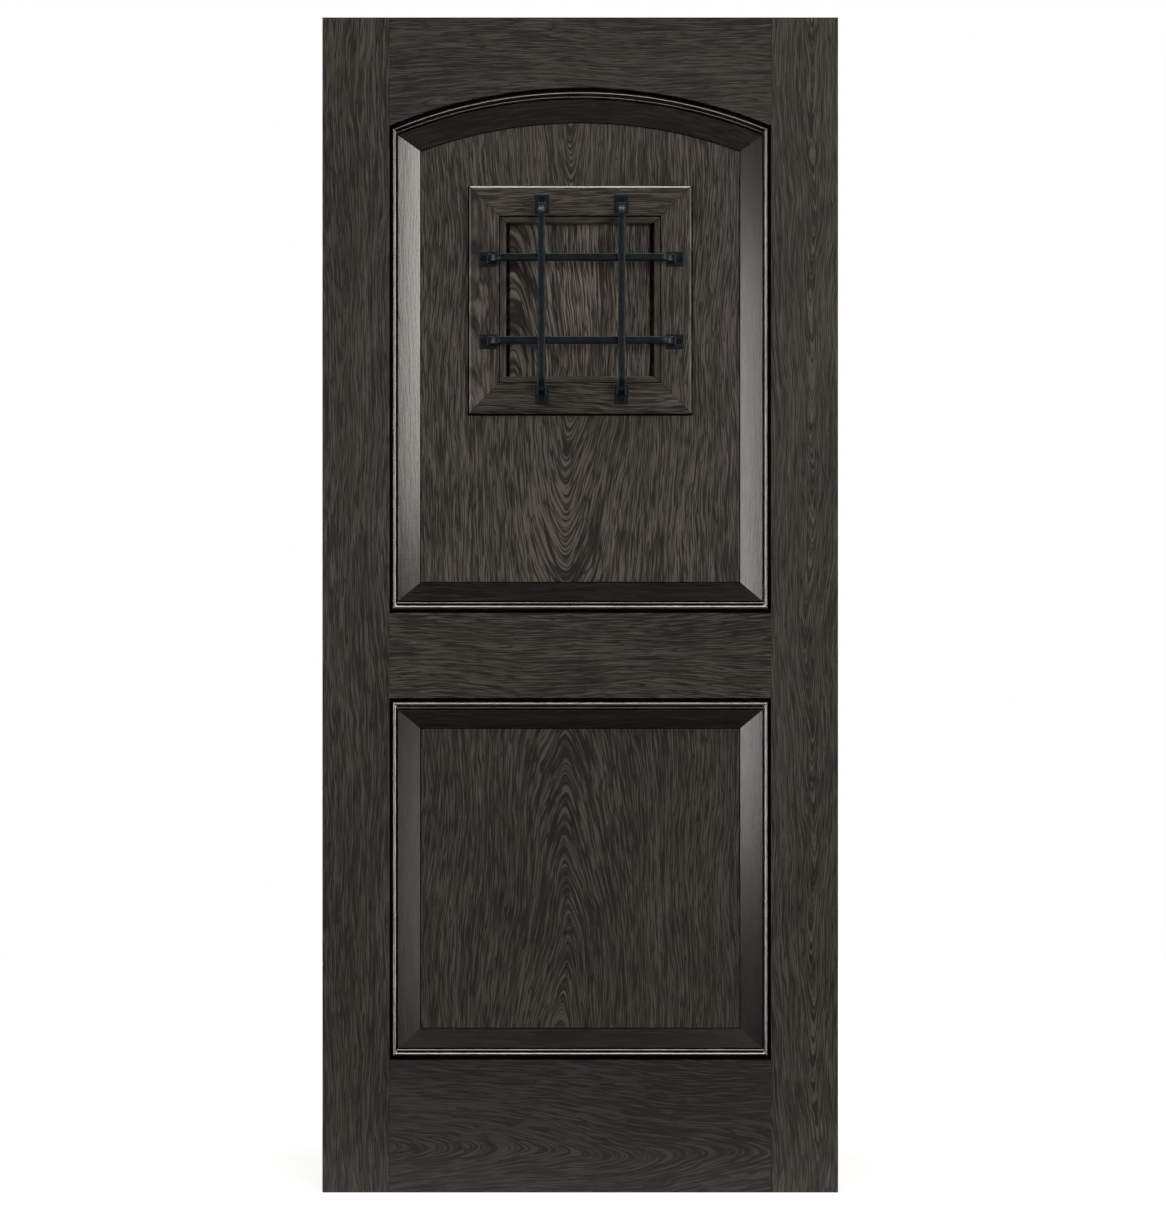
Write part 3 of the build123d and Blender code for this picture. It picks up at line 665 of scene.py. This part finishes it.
class CELLARDOOR_OT_mouldings(bpy.types.Operator):
    """Carries the mitred moulding round both panels on both faces, round the arch too"""

    bl_idname = "cellar_door.mouldings"
    bl_label = "Panel Mouldings"

    def execute(self, context):
        section, gathered = moulding_section()
        upright = members_shifted(section, UPRIGHT_MEMBERS, MOULD_WIDTH, 0.85)
        level = members_shifted(section, LEVEL_MEMBERS, MOULD_WIDTH, 1.25)
        lowest = members_shifted(section, LEVEL_MEMBERS, MOULD_WIDTH, 1.45)
        arched = members_shifted(section, ARCH_MEMBERS, context.scene.cellar_door.joinery.arch_width, 1.12)
        # the height at which each line of an upright meets the same line of the arch
        radius, half = ARCH_RADIUS - arched[:, 0], OPENING_HALF - upright[:, 0]
        meeting = ARCH_CENTRE + np.sqrt(radius**2 - half**2)
        uprights = {"left": upright, "right": upright}
        panels = (
            ("upper", UPPER_BOTTOM, SPRING, {**uprights, "bottom": level}, meeting),
            ("lower", LOWER_BOTTOM, LOWER_TOP, {**uprights, "bottom": lowest, "top": level}, None),
        )
        look = {"contrast": 1.3, "wear": 0.8, "gloss": 1.0, "mitred": True}
        # the mouldings' darker tones are painted shade
        material = oak("moulding_oak", tones("moulding"), 0.03, **look)
        share = np.linspace(0, 1, 9)[:, None]
        # the arch's lines run round circles, from minus a to a, where sin a is half the width over the radius
        angle = np.linspace(-1, 1, 73)[:, None] * np.arcsin(half / radius)
        arch_x, arch_z = MIDDLE_X + radius * np.sin(angle), ARCH_CENTRE + radius * np.cos(angle)
        for face, face_y, seat, inward in FACES:
            runs = []
            for order, (panel, low, high, sections, top) in enumerate(panels):
                edges = (OPENING_LEFT, OPENING_RIGHT, low, high)
                made = mitred_frame(sections, edges, lambda shape: face_y + inward * shape[:, 1], share, top)
                for side, sign, rings, along in made:
                    moved = (0.3 + 0.2 * order, 0.06 - seat, 3.1 * order + 1.3 * sign)
                    if side in uprights:
                        moved = (0.03 + 0.17 * order, 0.05 - seat, 1.7 * order + 0.9 * sign)
                    runs.append((f"{panel}_moulding_{side}_{face}", rings, along, moved))
                if panel == "upper":
                    arch_y = np.broadcast_to(face_y + inward * arched[:, 1], angle.shape)
                    rings, moved = np.stack([arch_x, arch_y, arch_z], axis=-1), (0.11, 0.04 - seat, 6.2)
                    runs.append((f"upper_moulding_arch_{face}", rings, angle * ARCH_RADIUS, moved))
            for node, rings, along, moved in runs:
                grain = grain_in_board(rings, along, moved)
                # the painted shade of each point of the section, the same all along the run
                stain = np.broadcast_to(gathered, along.shape)
                name = "dressed_" + node
                piece(name, shell(rings), material, "leaf", node, grain, stain, 30)
        return {"FINISHED"}


def casing_section(width, thickness, outer_slope, inner_round):
    """A board's section as a closed loop of (inset, height over the panel).

    Its outer front edge is a slope, its inner front edge is rounded.
    """
    slope = [(0, thickness - outer_slope * 0.68), (outer_slope, thickness)]
    corners = [(0, 0), *slope, (width, thickness), (width, 0)]
    return backed(eased(corners, (outer_slope / 4, outer_slope / 4, inner_round), steps=6), 0)


class CELLARDOOR_OT_casings(bpy.types.Operator):
    """Frames the speakeasy with its mitred casings and the bead inside the outer one"""

    bl_idname = "cellar_door.casings"
    bl_label = "Speakeasy Casings"

    def execute(self, context):
        sizes = context.scene.cellar_door.joinery
        level_oak, upright_oak = (
            oak(name, tones("oak", 1.35), 0.1, contrast=0.8, wear=0.35, gloss=gloss, mitred=True)
            for name, gloss in (("casing_level_oak", 0.65), ("casing_upright_oak", 0.0))
        )
        # how far along its log each board was cut, the inner casing's boards one step on from the outer one's
        cuts = {"left": 2.44, "right": 0.0, "bottom": 0.0, "top": 0.61}
        sets = (
            ("front", PANEL_FRONT, -1, sizes.casing_slope, sizes.casing_round, 0.0),
            ("back", PANEL_BACK, 1, sizes.inner_casing_round, sizes.inner_casing_round, 0.61),
        )
        for face, seat, out, outer_slope, inner_round, step in sets:
            left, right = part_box(f"speakeasy_casing_left_{face}"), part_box(f"speakeasy_casing_right_{face}")
            thickness = max(seat - left[0].y, left[1].y - seat)
            section = casing_section(left[1].x - left[0].x, thickness, outer_slope, inner_round)
            for side, rings, along in self.runs(section, left[0], right[1], seat, out, sizes.joint_gap):
                node = f"speakeasy_casing_{side}_{face}"
                grain = grain_in_board(rings, along, (0.12, 0.05, cuts[side] + step), 2)
                material = upright_oak if side in ("left", "right") else level_oak
                piece("dressed_" + node, shell(rings), material, "leaf", node, grain)
        low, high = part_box("speakeasy_bead")
        width, thickness = sizes.window_bead_width, PANEL_FRONT - low.y
        section = casing_section(width, thickness, sizes.window_bead_slope, sizes.window_bead_round)
        shells, grain = [], []
        runs = self.runs(section, low, high, PANEL_FRONT, -1, sizes.joint_gap)
        for cut, (_, rings, along) in enumerate(runs):
            shells.append(shell(rings))
            grain.append(grain_in_board(rings, along, (0.12, 0.05, 7.7 + cut), 2))
        mesh_parts, grain, node = joined(shells), np.concatenate(grain), "speakeasy_bead"
        piece("dressed_" + node, mesh_parts, upright_oak, "leaf", node, grain)
        # dark strips of painted shade round the casing and along the bead
        self.stain_lines(low, high, sizes.stain_line)
        return {"FINISHED"}

    def stain_lines(self, bead_low, bead_high, line):
        """Thin dark strips of painted shade round the casing, where it meets the panel, and between the casing
        and the bead.
        """
        step = Vector((line, 0, line))
        casing_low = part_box("speakeasy_casing_left_front")[0]
        casing_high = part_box("speakeasy_casing_right_front")[1]
        corner = np.array([(0, 0), (0, 0.2 * MM), (line, 0.9 * MM), (line, 0)])
        seam = np.array([(0, 0), (0, 0.5 * MM), (line * 0.6, 0.5 * MM), (line * 0.6, 0)])
        runs = [
            *self.runs(corner, casing_low - step, casing_high + step, PANEL_FRONT, -1, 0.0),
            *self.runs(seam, bead_low, bead_high, CASING_FRONT + 2.4 * MM, -1, 0.0),
        ]
        mesh_parts = joined([shell(rings) for _, rings, _ in runs])
        # a near black matt paint that stands for the shade round the casing
        material = matt("gathered_stain", tones("moulding", 0.6)[0])
        piece("gathered_stain_lines", mesh_parts, material, "leaf")

    @staticmethod
    def runs(section, low, high, seat, out, ease):
        """The four runs of a mitred frame with one section, standing out from its seat.

        At the very ends the face sinks by the ease, so that the joint reads as a fine line.
        """
        step = ease / (high.z - low.z)
        share = np.concatenate([[0, step], np.linspace(0.02, 0.98, 5), [1 - step, 1]])[:, None]
        at_end = (share == 0) | (share == 1)

        def depth_of(shape):
            return seat + out * np.where(at_end, np.maximum(shape[:, 1] - ease, 0), shape[:, 1])

        sections = dict.fromkeys(("left", "right", "bottom", "top"), section)
        for side, _, rings, along in mitred_frame(sections, (low.x, high.x, low.z, high.z), depth_of, share):
            yield side, rings, along


def bar_place(node):
    """A grille bar's middle on the casing's face, its direction and its half length."""
    low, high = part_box(node)
    middle = np.array([(low.x + high.x) / 2, CASING_FRONT, (low.z + high.z) / 2])
    return (middle, Z, (high.z - low.z) / 2) if "upright" in node else (middle, X, (high.x - low.x) / 2)


class CELLARDOOR_OT_grille(bpy.types.Operator):
    """Forges the four grille bars, bent back on to their flat feet"""

    bl_idname = "cellar_door.grille"
    bl_label = "Grille Bars"

    def execute(self, context):
        material = iron("forged_iron")
        for seed, node in enumerate(GRILLE, 3):
            mesh_parts = self.bar(node, seed)
            piece("forged_" + node, mesh_parts, material, "leaf", node, smooth_angle=40)
        return {"FINISHED"}

    @staticmethod
    def line(half, standoff, radius):
        """The bar's centre line as (place along, height over the casing, direction's angle).

        Straight out from the casing, a quarter circle of the bend's radius, straight along, and back.
        """
        square = math.pi / 2
        turn = np.linspace(0, square, 26)
        leg = [(-half, height, square) for height in np.linspace(0, standoff - radius, 8)[:-1]]
        rise, reach = radius * (1 - np.sin(turn)), radius * (1 - np.cos(turn))
        end = np.concatenate([leg, np.stack([reach - half, standoff - rise, square - turn], axis=1)])
        straight = [(place, standoff, 0.0) for place in np.linspace(-half + radius, half - radius, 90)[1:-1]]
        return np.concatenate([end, straight, end[::-1] * (-1, 1, -1)])

    def bar(self, node, seed):
        """One bar with its plates and collars, as closed shells with hammer marks."""
        sizes = bpy.context.scene.cellar_door.iron
        centre, run, half_length = bar_place(node)
        axes = np.array([X if run is Z else Z, run, -Y])
        half_bar = sizes.bar_size / 2
        standoff = CASING_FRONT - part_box(node)[0].y - half_bar
        leg = half_length - sizes.foot_bare - half_bar
        bend = min(sizes.bend_radius, standoff - sizes.foot_thickness)
        place, height, angle = self.line(leg, standoff, bend).T
        outline = rounded_rectangle(half_bar, half_bar, sizes.bar_round, 4)
        normal = np.outer(-np.sin(angle), axes[1]) + np.outer(np.cos(angle), axes[2])
        path = centre + np.outer(place, axes[1]) + np.outer(height, axes[2])
        rings = path[:, None] + outline[:, :1] * axes[0] + outline[:, 1:] * normal[:, None]
        shells = [shell(hammered(rings, sizes.hammer_depth, seed))]
        collar = half_bar + sizes.collar_step
        foot_levels = self.levels(sizes.foot_thickness, sizes.foot_round)
        collar_levels = self.levels(sizes.foot_thickness + sizes.collar_height, sizes.collar_round)
        half_width, half_foot = sizes.foot_width / 2, sizes.foot_length / 2
        for end in (-run, run):
            foot, neck = centre + end * (half_length - half_foot), centre + end * leg
            shells.append(plate(foot, axes, half_width, half_foot, sizes.foot_corner, foot_levels))
            shells.append(plate(neck, axes, collar, collar, sizes.collar_corner, collar_levels))
        points, faces = joined(shells)
        plates = slice(len(shells[0][0]), None)
        points[plates] = hammered(points[plates], sizes.hammer_depth * 0.8, seed + 40, 0.016)
        seated = points[:, 1] > CASING_FRONT - 0.5 * MM
        points[seated, 1] = CASING_FRONT
        return points, faces

    @staticmethod
    def levels(thickness, edge_round):
        """Heights and insets of a plate whose upper edge is a quarter circle, with flat rings in its top."""
        angle = np.linspace(0, math.pi / 2, 6)
        edge = zip(thickness - edge_round * (1 - np.sin(angle)), edge_round * (1 - np.cos(angle)))
        return [(0.0, 0.0), *edge, *((thickness, edge_round + step * MM) for step in (1.0, 2.5, 4.5))]


def screw_head(centre, axes, radius, star, around=72):
    """A flush screw head with a star recess: the floor is sunk, the rim is eased.

    The recess's edge lies at star * (1 + 0.22 cos(6 a)) from the axis, at the angle a.
    """
    edge = star * (1 + 0.22 * np.cos(6 * np.linspace(0, 2 * math.pi, around, endpoint=False)))
    rows = (
        (radius, -1.4 * MM),
        (radius, 0.1 * MM),
        (radius - 0.25 * MM, 0.4 * MM),
        (radius - 0.8 * MM, 0.55 * MM),
        (edge + 0.2 * MM, 0.6 * MM),
        (edge, 0.45 * MM),
        (edge - 0.1 * MM, -1.3 * MM),
        (edge * 0.3, -1.5 * MM),
    )
    return turned(centre, axes, rows, around)


class CELLARDOOR_OT_grille_screws(bpy.types.Operator):
    """Sets a dark star screw in each foot of the grille"""

    bl_idname = "cellar_door.grille_screws"
    bl_label = "Grille Screws"

    def execute(self, context):
        sizes = context.scene.cellar_door.iron
        shells = []
        for node in GRILLE:
            middle, run, half_length = bar_place(node)
            for end in (-1, 1):
                seat = middle + run * end * (half_length - sizes.foot_bare * 0.52) - Y * sizes.foot_thickness
                shells.append(screw_head(seat, (X, Z, -Y), sizes.screw_radius, sizes.star_radius))
        # the screws are dark iron painted darker still, as painted shade for their star recesses
        material = matt("screw_iron", [value * 0.4 for value in context.scene.cellar_door.finish.iron_dark])
        piece("grille_foot_screws", joined(shells), material, "leaf")
        return {"FINISHED"}


class CELLARDOOR_OT_hatch_hinges(bpy.types.Operator):
    """Makes the hatch's two surface hinges with their barrels, plates and screws"""

    bl_idname = "cellar_door.hatch_hinges"
    bl_label = "Hatch Hinges"

    def execute(self, context):
        material = iron("hinge_iron", 0.4)
        # node, body, side of the pin, and the knuckles' ends as shares of the hinge's height from its middle
        halves = (
            ("hatch_hinge_casing_leaves", "leaf", -1, ((-0.5, -0.174), (0.174, 0.5))),
            ("hatch_hinge_hatch_leaves", "hatch", 1, ((-0.165, 0.165),)),
        )
        half_height = context.scene.cellar_door.iron.hinge_height / 2
        for node, body, side, knuckles in halves:
            low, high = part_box(node)
            outer = low.x if side < 0 else high.x
            shells = []
            for middle in (low.z + half_height, high.z - half_height):
                shells += self.half(outer, side, middle, knuckles)
            piece("forged_" + node, joined(shells), material, body, node)
        return {"FINISHED"}

    @staticmethod
    def half(outer, side, middle, knuckles):
        """A plate on the wood, the knuckles it carries with a neck to each, and two screws."""
        sizes = bpy.context.scene.cellar_door.iron
        height, thickness, gap = sizes.hinge_height, sizes.hinge_thickness, sizes.hinge_gap
        pin_x, pin_y, _ = frame["joints"][0]["pos_m"]
        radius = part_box("hatch_hinge_casing_leaves")[1].y - pin_y
        clear = radius + gap
        inner = pin_x + side * clear
        half_width = abs(outer - inner) / 2
        axes = np.array([X, Z, Y])
        centre = np.array([(inner + outer) / 2, FACE_BACK, middle])
        easing = [(thickness - 0.5 * MM, 0), (thickness - 0.15 * MM, 0.15 * MM), (thickness, 0.5 * MM)]
        corner, levels = sizes.hinge_corner, [(0, 0), *easing]
        shells = [plate(centre, axes, half_width, height / 2, corner, levels, shrink=1)]
        ease = radius / 5
        for start, end in knuckles:
            low, high = middle + start * height, middle + end * height
            rows = ((radius - ease, low), (radius, low + ease), (radius, high - ease), (radius - ease, high))
            shells.append(turned((pin_x, pin_y, 0), (X, Y, Z), rows, 40))
            neck = np.array([pin_x + side * clear * 0.55, FACE_BACK, (low + high) / 2])
            levels = [(gap, 0), (thickness, 0)]
            shells.append(plate(neck, axes, clear * 0.5, (high - low) / 2 - gap, 0.2 * MM, levels, steps=2))
        for step in (-0.3, 0.3):
            seat = centre + Z * step * height + X * side * half_width * 0.15 + Y * thickness
            shells.append(screw_head(seat, axes, sizes.hinge_screw, sizes.hinge_screw / 2, around=48))
        return shells


class CELLARDOOR_OT_hatch_knob(bpy.types.Operator):
    """Forges the hatch's eight sided knob"""

    bl_idname = "cellar_door.hatch_knob"
    bl_label = "Hatch Knob"

    def execute(self, context):
        node = "hatch_knob"
        low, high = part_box(node)
        # from the plate out: height as a share of the knob's length, radius as a share of the plate's
        profile = (
            (0.0, 0.995), (0.05, 0.995), (0.1, 0.9), (0.115, 0.45), (0.14, 0.4), (0.42, 0.4), (0.44, 0.52),
            (0.5, 0.72), (0.56, 0.88), (0.6, 0.925), (0.8, 0.925), (0.86, 0.88), (0.92, 0.78), (0.97, 0.66),
            (0.99, 0.58), (0.985, 0.3), (0.985, 0.1),
        )
        height, radius = np.array(profile).T
        # an octagon's edge lies at cos h / cos w of its corners' radius, where h is half a side's angle and w
        # the angle from the middle of the nearest side
        around, half_side = 96, math.pi / 8
        angle = np.linspace(0, 2 * math.pi, around, endpoint=False)
        octagon = math.cos(half_side) / np.cos((angle + half_side) % (2 * half_side) - half_side)
        reach = np.outer(radius * (high.x - low.x) / 2, octagon)
        centre = ((low.x + high.x) / 2, FACE_BACK, (low.z + high.z) / 2)
        rows = list(zip(reach, height * (high.y - FACE_BACK)))
        points, faces = turned(centre, (X, Z, Y), rows, around)
        points = hammered(points, 0.15 * MM, 91, 0.008)
        points[:, 1] = np.maximum(points[:, 1], FACE_BACK)
        material = iron("knob_iron", 0.36)
        piece("forged_" + node, (points, faces), material, "hatch", node, smooth_angle=40)
        return {"FINISHED"}


class CELLARDOOR_OT_stage(bpy.types.Operator):
    """Sets up the floor, the softboxes, the pale surroundings and the camera"""

    bl_idname = "cellar_door.stage"
    bl_label = "Stage"

    def execute(self, context):
        stage = context.scene.cellar_door.stage
        context.scene.view_settings.view_transform = "Standard"
        self.camera(stage)
        self.surroundings(stage)
        self.floor()
        # name, place, height on the leaf's middle line that it faces, width, height, brightness
        boxes = (
            ("right_box", (4.20, -6.0, 3.0), 1.4, 2.2, 2.2, stage.right_box),
            ("right_wide_box", (3.05, -6.2, 2.6), 1.4, 1.5, 2.4, stage.right_box * 1.05),
            ("right_low_box", (3.60, -6.0, -0.2), 0.6, 2.6, 1.4, stage.right_box * 0.3),
            ("left_box", (-2.25, -6.0, 1.35), 1.35, 1.9, 2.8, stage.left_box),
            ("back_right_box", (3.4, 5.0, 2.2), 1.2, 2.0, 2.4, stage.back_box),
            ("back_left_box", (-2.6, 5.0, 1.6), 1.2, 1.8, 2.4, stage.back_box * 0.7),
        )
        for name, place, target, width, height, brightness in boxes:
            self.softbox(name, place, (MIDDLE_X, 0.0, target), width, height, brightness)
        # these lie close before the leaf's face and graze it
        overhead, below = (MIDDLE_X, -0.75, 4.7), (MIDDLE_X, -0.75, 1.2)
        self.softbox("top_box", overhead, below, 3.0, 1.1, stage.top_box)
        for name, x in (("right_strip", 3.4), ("left_strip", -2.5)):
            self.softbox(name, (x, -0.75, 1.1), (MIDDLE_X, -0.1, 1.1), 0.6, 3.0, stage.side_strips)
        return {"FINISHED"}

    @staticmethod
    def camera(stage):
        """A level camera whose lens spans the view's height at the leaf's front face."""
        data = bpy.data.cameras.new("camera")
        data.sensor_fit = "AUTO"
        data.sensor_width = 36.0
        data.lens = data.sensor_width * stage.camera_distance / stage.camera_view
        made = bpy.data.objects.new("camera", data)
        made.location = (stage.camera_x, FACE_FRONT - stage.camera_distance, stage.camera_height)
        made.rotation_euler = (math.pi / 2, 0, 0)
        bpy.context.scene.collection.objects.link(made)
        bpy.context.scene.camera = made

    @staticmethod
    def softbox(name, place, target, width, height, brightness):
        """A rectangle of light: its power is its brightness times its area times pi."""
        data = bpy.data.lights.new(name, "AREA")
        data.color = (1.0, 0.96, 0.91)
        data.shape = "RECTANGLE"
        data.size, data.size_y = width, height
        data.energy = brightness * width * height * math.pi
        made = bpy.data.objects.new(name, data)
        made.location = place
        direction = Vector(target) - Vector(place)
        made.rotation_euler = direction.to_track_quat("-Z", "Y").to_euler()
        made.visible_camera = False
        bpy.context.scene.collection.objects.link(made)

    @staticmethod
    def surroundings(stage):
        """White to the camera; to everything else a dim room.

        The room has a soft glow ahead, a white ring behind and a soft band above and below the camera.
        """
        world = bpy.data.worlds.new("surroundings")
        world.use_nodes = True
        bpy.context.scene.world = world
        graph = Graph(world.node_tree)
        direction = graph.add("ShaderNodeTexCoord").outputs["Generated"]
        _, y, z = graph.add("ShaderNodeSeparateXYZ", {0: direction}).outputs
        ahead = graph.spread(graph.math("ABSOLUTE", y), 0.86, 0.99)
        room = graph.math("MULTIPLY_ADD", ahead, stage.front_glow, stage.room)
        kind = graph.add("ShaderNodeLightPath").outputs
        mirrored = graph.math("MAXIMUM", kind["Is Glossy Ray"], kind["Is Transmission Ray"])
        ring = graph.math("MULTIPLY", graph.spread(y, -0.3, 0.05), mirrored)
        ring = graph.math("MAXIMUM", ring, graph.math("MULTIPLY", graph.spread(y, 0.0, 0.3), 0.2))
        ring = graph.math("MULTIPLY", ring, graph.math("SUBTRACT", 1.0, ahead))
        steep = graph.math("ABSOLUTE", graph.math("ADD", z, 0.05))
        bands = graph.math("SUBTRACT", graph.spread(steep, 0.2, 0.32), graph.spread(steep, 0.46, 0.6))
        bands = graph.math("MULTIPLY", bands, graph.spread(graph.math("MULTIPLY", y, -1.0), 0.3, 0.6))
        room = graph.math("MULTIPLY_ADD", bands, stage.bands, room)
        strength = graph.math("MAXIMUM", graph.math("MAXIMUM", room, ring), kind["Is Camera Ray"])
        background = graph.add("ShaderNodeBackground", {"Color": (1, 1, 1, 1), "Strength": strength})
        graph.add("ShaderNodeOutputWorld", {"Surface": background.outputs[0]})

    @staticmethod
    def floor():
        """A pale floor that the leaf stands on, white to the camera except in the leaf's soft shadow."""
        material, graph = new_material("floor_paint")
        kind = graph.add("ShaderNodeLightPath").outputs
        seen = graph.math("MAXIMUM", kind["Is Camera Ray"], kind["Is Glossy Ray"])
        seen = graph.math("MAXIMUM", seen, kind["Is Transmission Ray"])
        place = graph.add("ShaderNodeTexCoord").outputs["Object"]
        from_leaf = {0: place, 1: (MIDDLE_X, 0.0, 0.0)}
        away = graph.add("ShaderNodeVectorMath", from_leaf, operation="DISTANCE").outputs["Value"]
        level = graph.math("MULTIPLY_ADD", graph.spread(away, 0.5, 1.1), 0.16, 0.7)
        strength = graph.math("MULTIPLY", seen, level)
        glow = graph.add("ShaderNodeEmission", {"Color": (1, 1, 1, 1), "Strength": strength})
        paint = graph.add("ShaderNodeBsdfDiffuse", {"Color": (0.5, 0.5, 0.5, 1)})
        both = graph.add("ShaderNodeAddShader", {0: glow.outputs[0], 1: paint.outputs[0]})
        graph.add("ShaderNodeOutputMaterial", {"Surface": both.outputs[0]})
        mesh = bpy.data.meshes.new("floor")
        mesh.from_pydata([(-1.8, -0.3, 0), (2.7, -0.3, 0), (2.7, 2.6, 0), (-1.8, 2.6, 0)], [], [(0, 1, 2, 3)])
        mesh.materials.append(material)
        made = bpy.data.objects.new("floor", mesh)
        bpy.context.scene.collection.objects.link(made)


OPERATORS = (
    CELLARDOOR_OT_stage,
    CELLARDOOR_OT_boards,
    CELLARDOOR_OT_mouldings,
    CELLARDOOR_OT_casings,
    CELLARDOOR_OT_grille,
    CELLARDOOR_OT_grille_screws,
    CELLARDOOR_OT_hatch_hinges,
    CELLARDOOR_OT_hatch_knob,
)


class CELLARDOOR_PT_sidebar(bpy.types.Panel):
    """Lists the door's pieces and their settings"""

    bl_label = "Cellar Door"
    bl_space_type = "VIEW_3D"
    bl_region_type = "UI"
    bl_category = "Cellar Door"

    def draw(self, context):
        settings = context.scene.cellar_door
        for group in (settings.joinery, settings.iron, settings.finish, settings.stage):
            column = self.layout.column(align=True)
            for name in group.__annotations__:
                column.prop(group, name)
        for operator in OPERATORS:
            self.layout.operator(operator.bl_idname)


CLASSES = (
    CellarDoorJoinery,
    CellarDoorIron,
    CellarDoorFinish,
    CellarDoorStage,
    CellarDoorSettings,
    *OPERATORS,
    CELLARDOOR_PT_sidebar,
)


def register():
    """Registers every class and hangs the settings on the scene."""
    for cls in CLASSES:
        bpy.utils.register_class(cls)
    bpy.types.Scene.cellar_door = PointerProperty(type=CellarDoorSettings)


def unregister():
    """Takes the settings and the classes away again."""
    del bpy.types.Scene.cellar_door
    for cls in reversed(CLASSES):
        bpy.utils.unregister_class(cls)


def main():
    register()
    for operator in OPERATORS:
        group, name = operator.bl_idname.split(".")
        getattr(getattr(bpy.ops, group), name)()


if __name__ == "__main__":
    main()
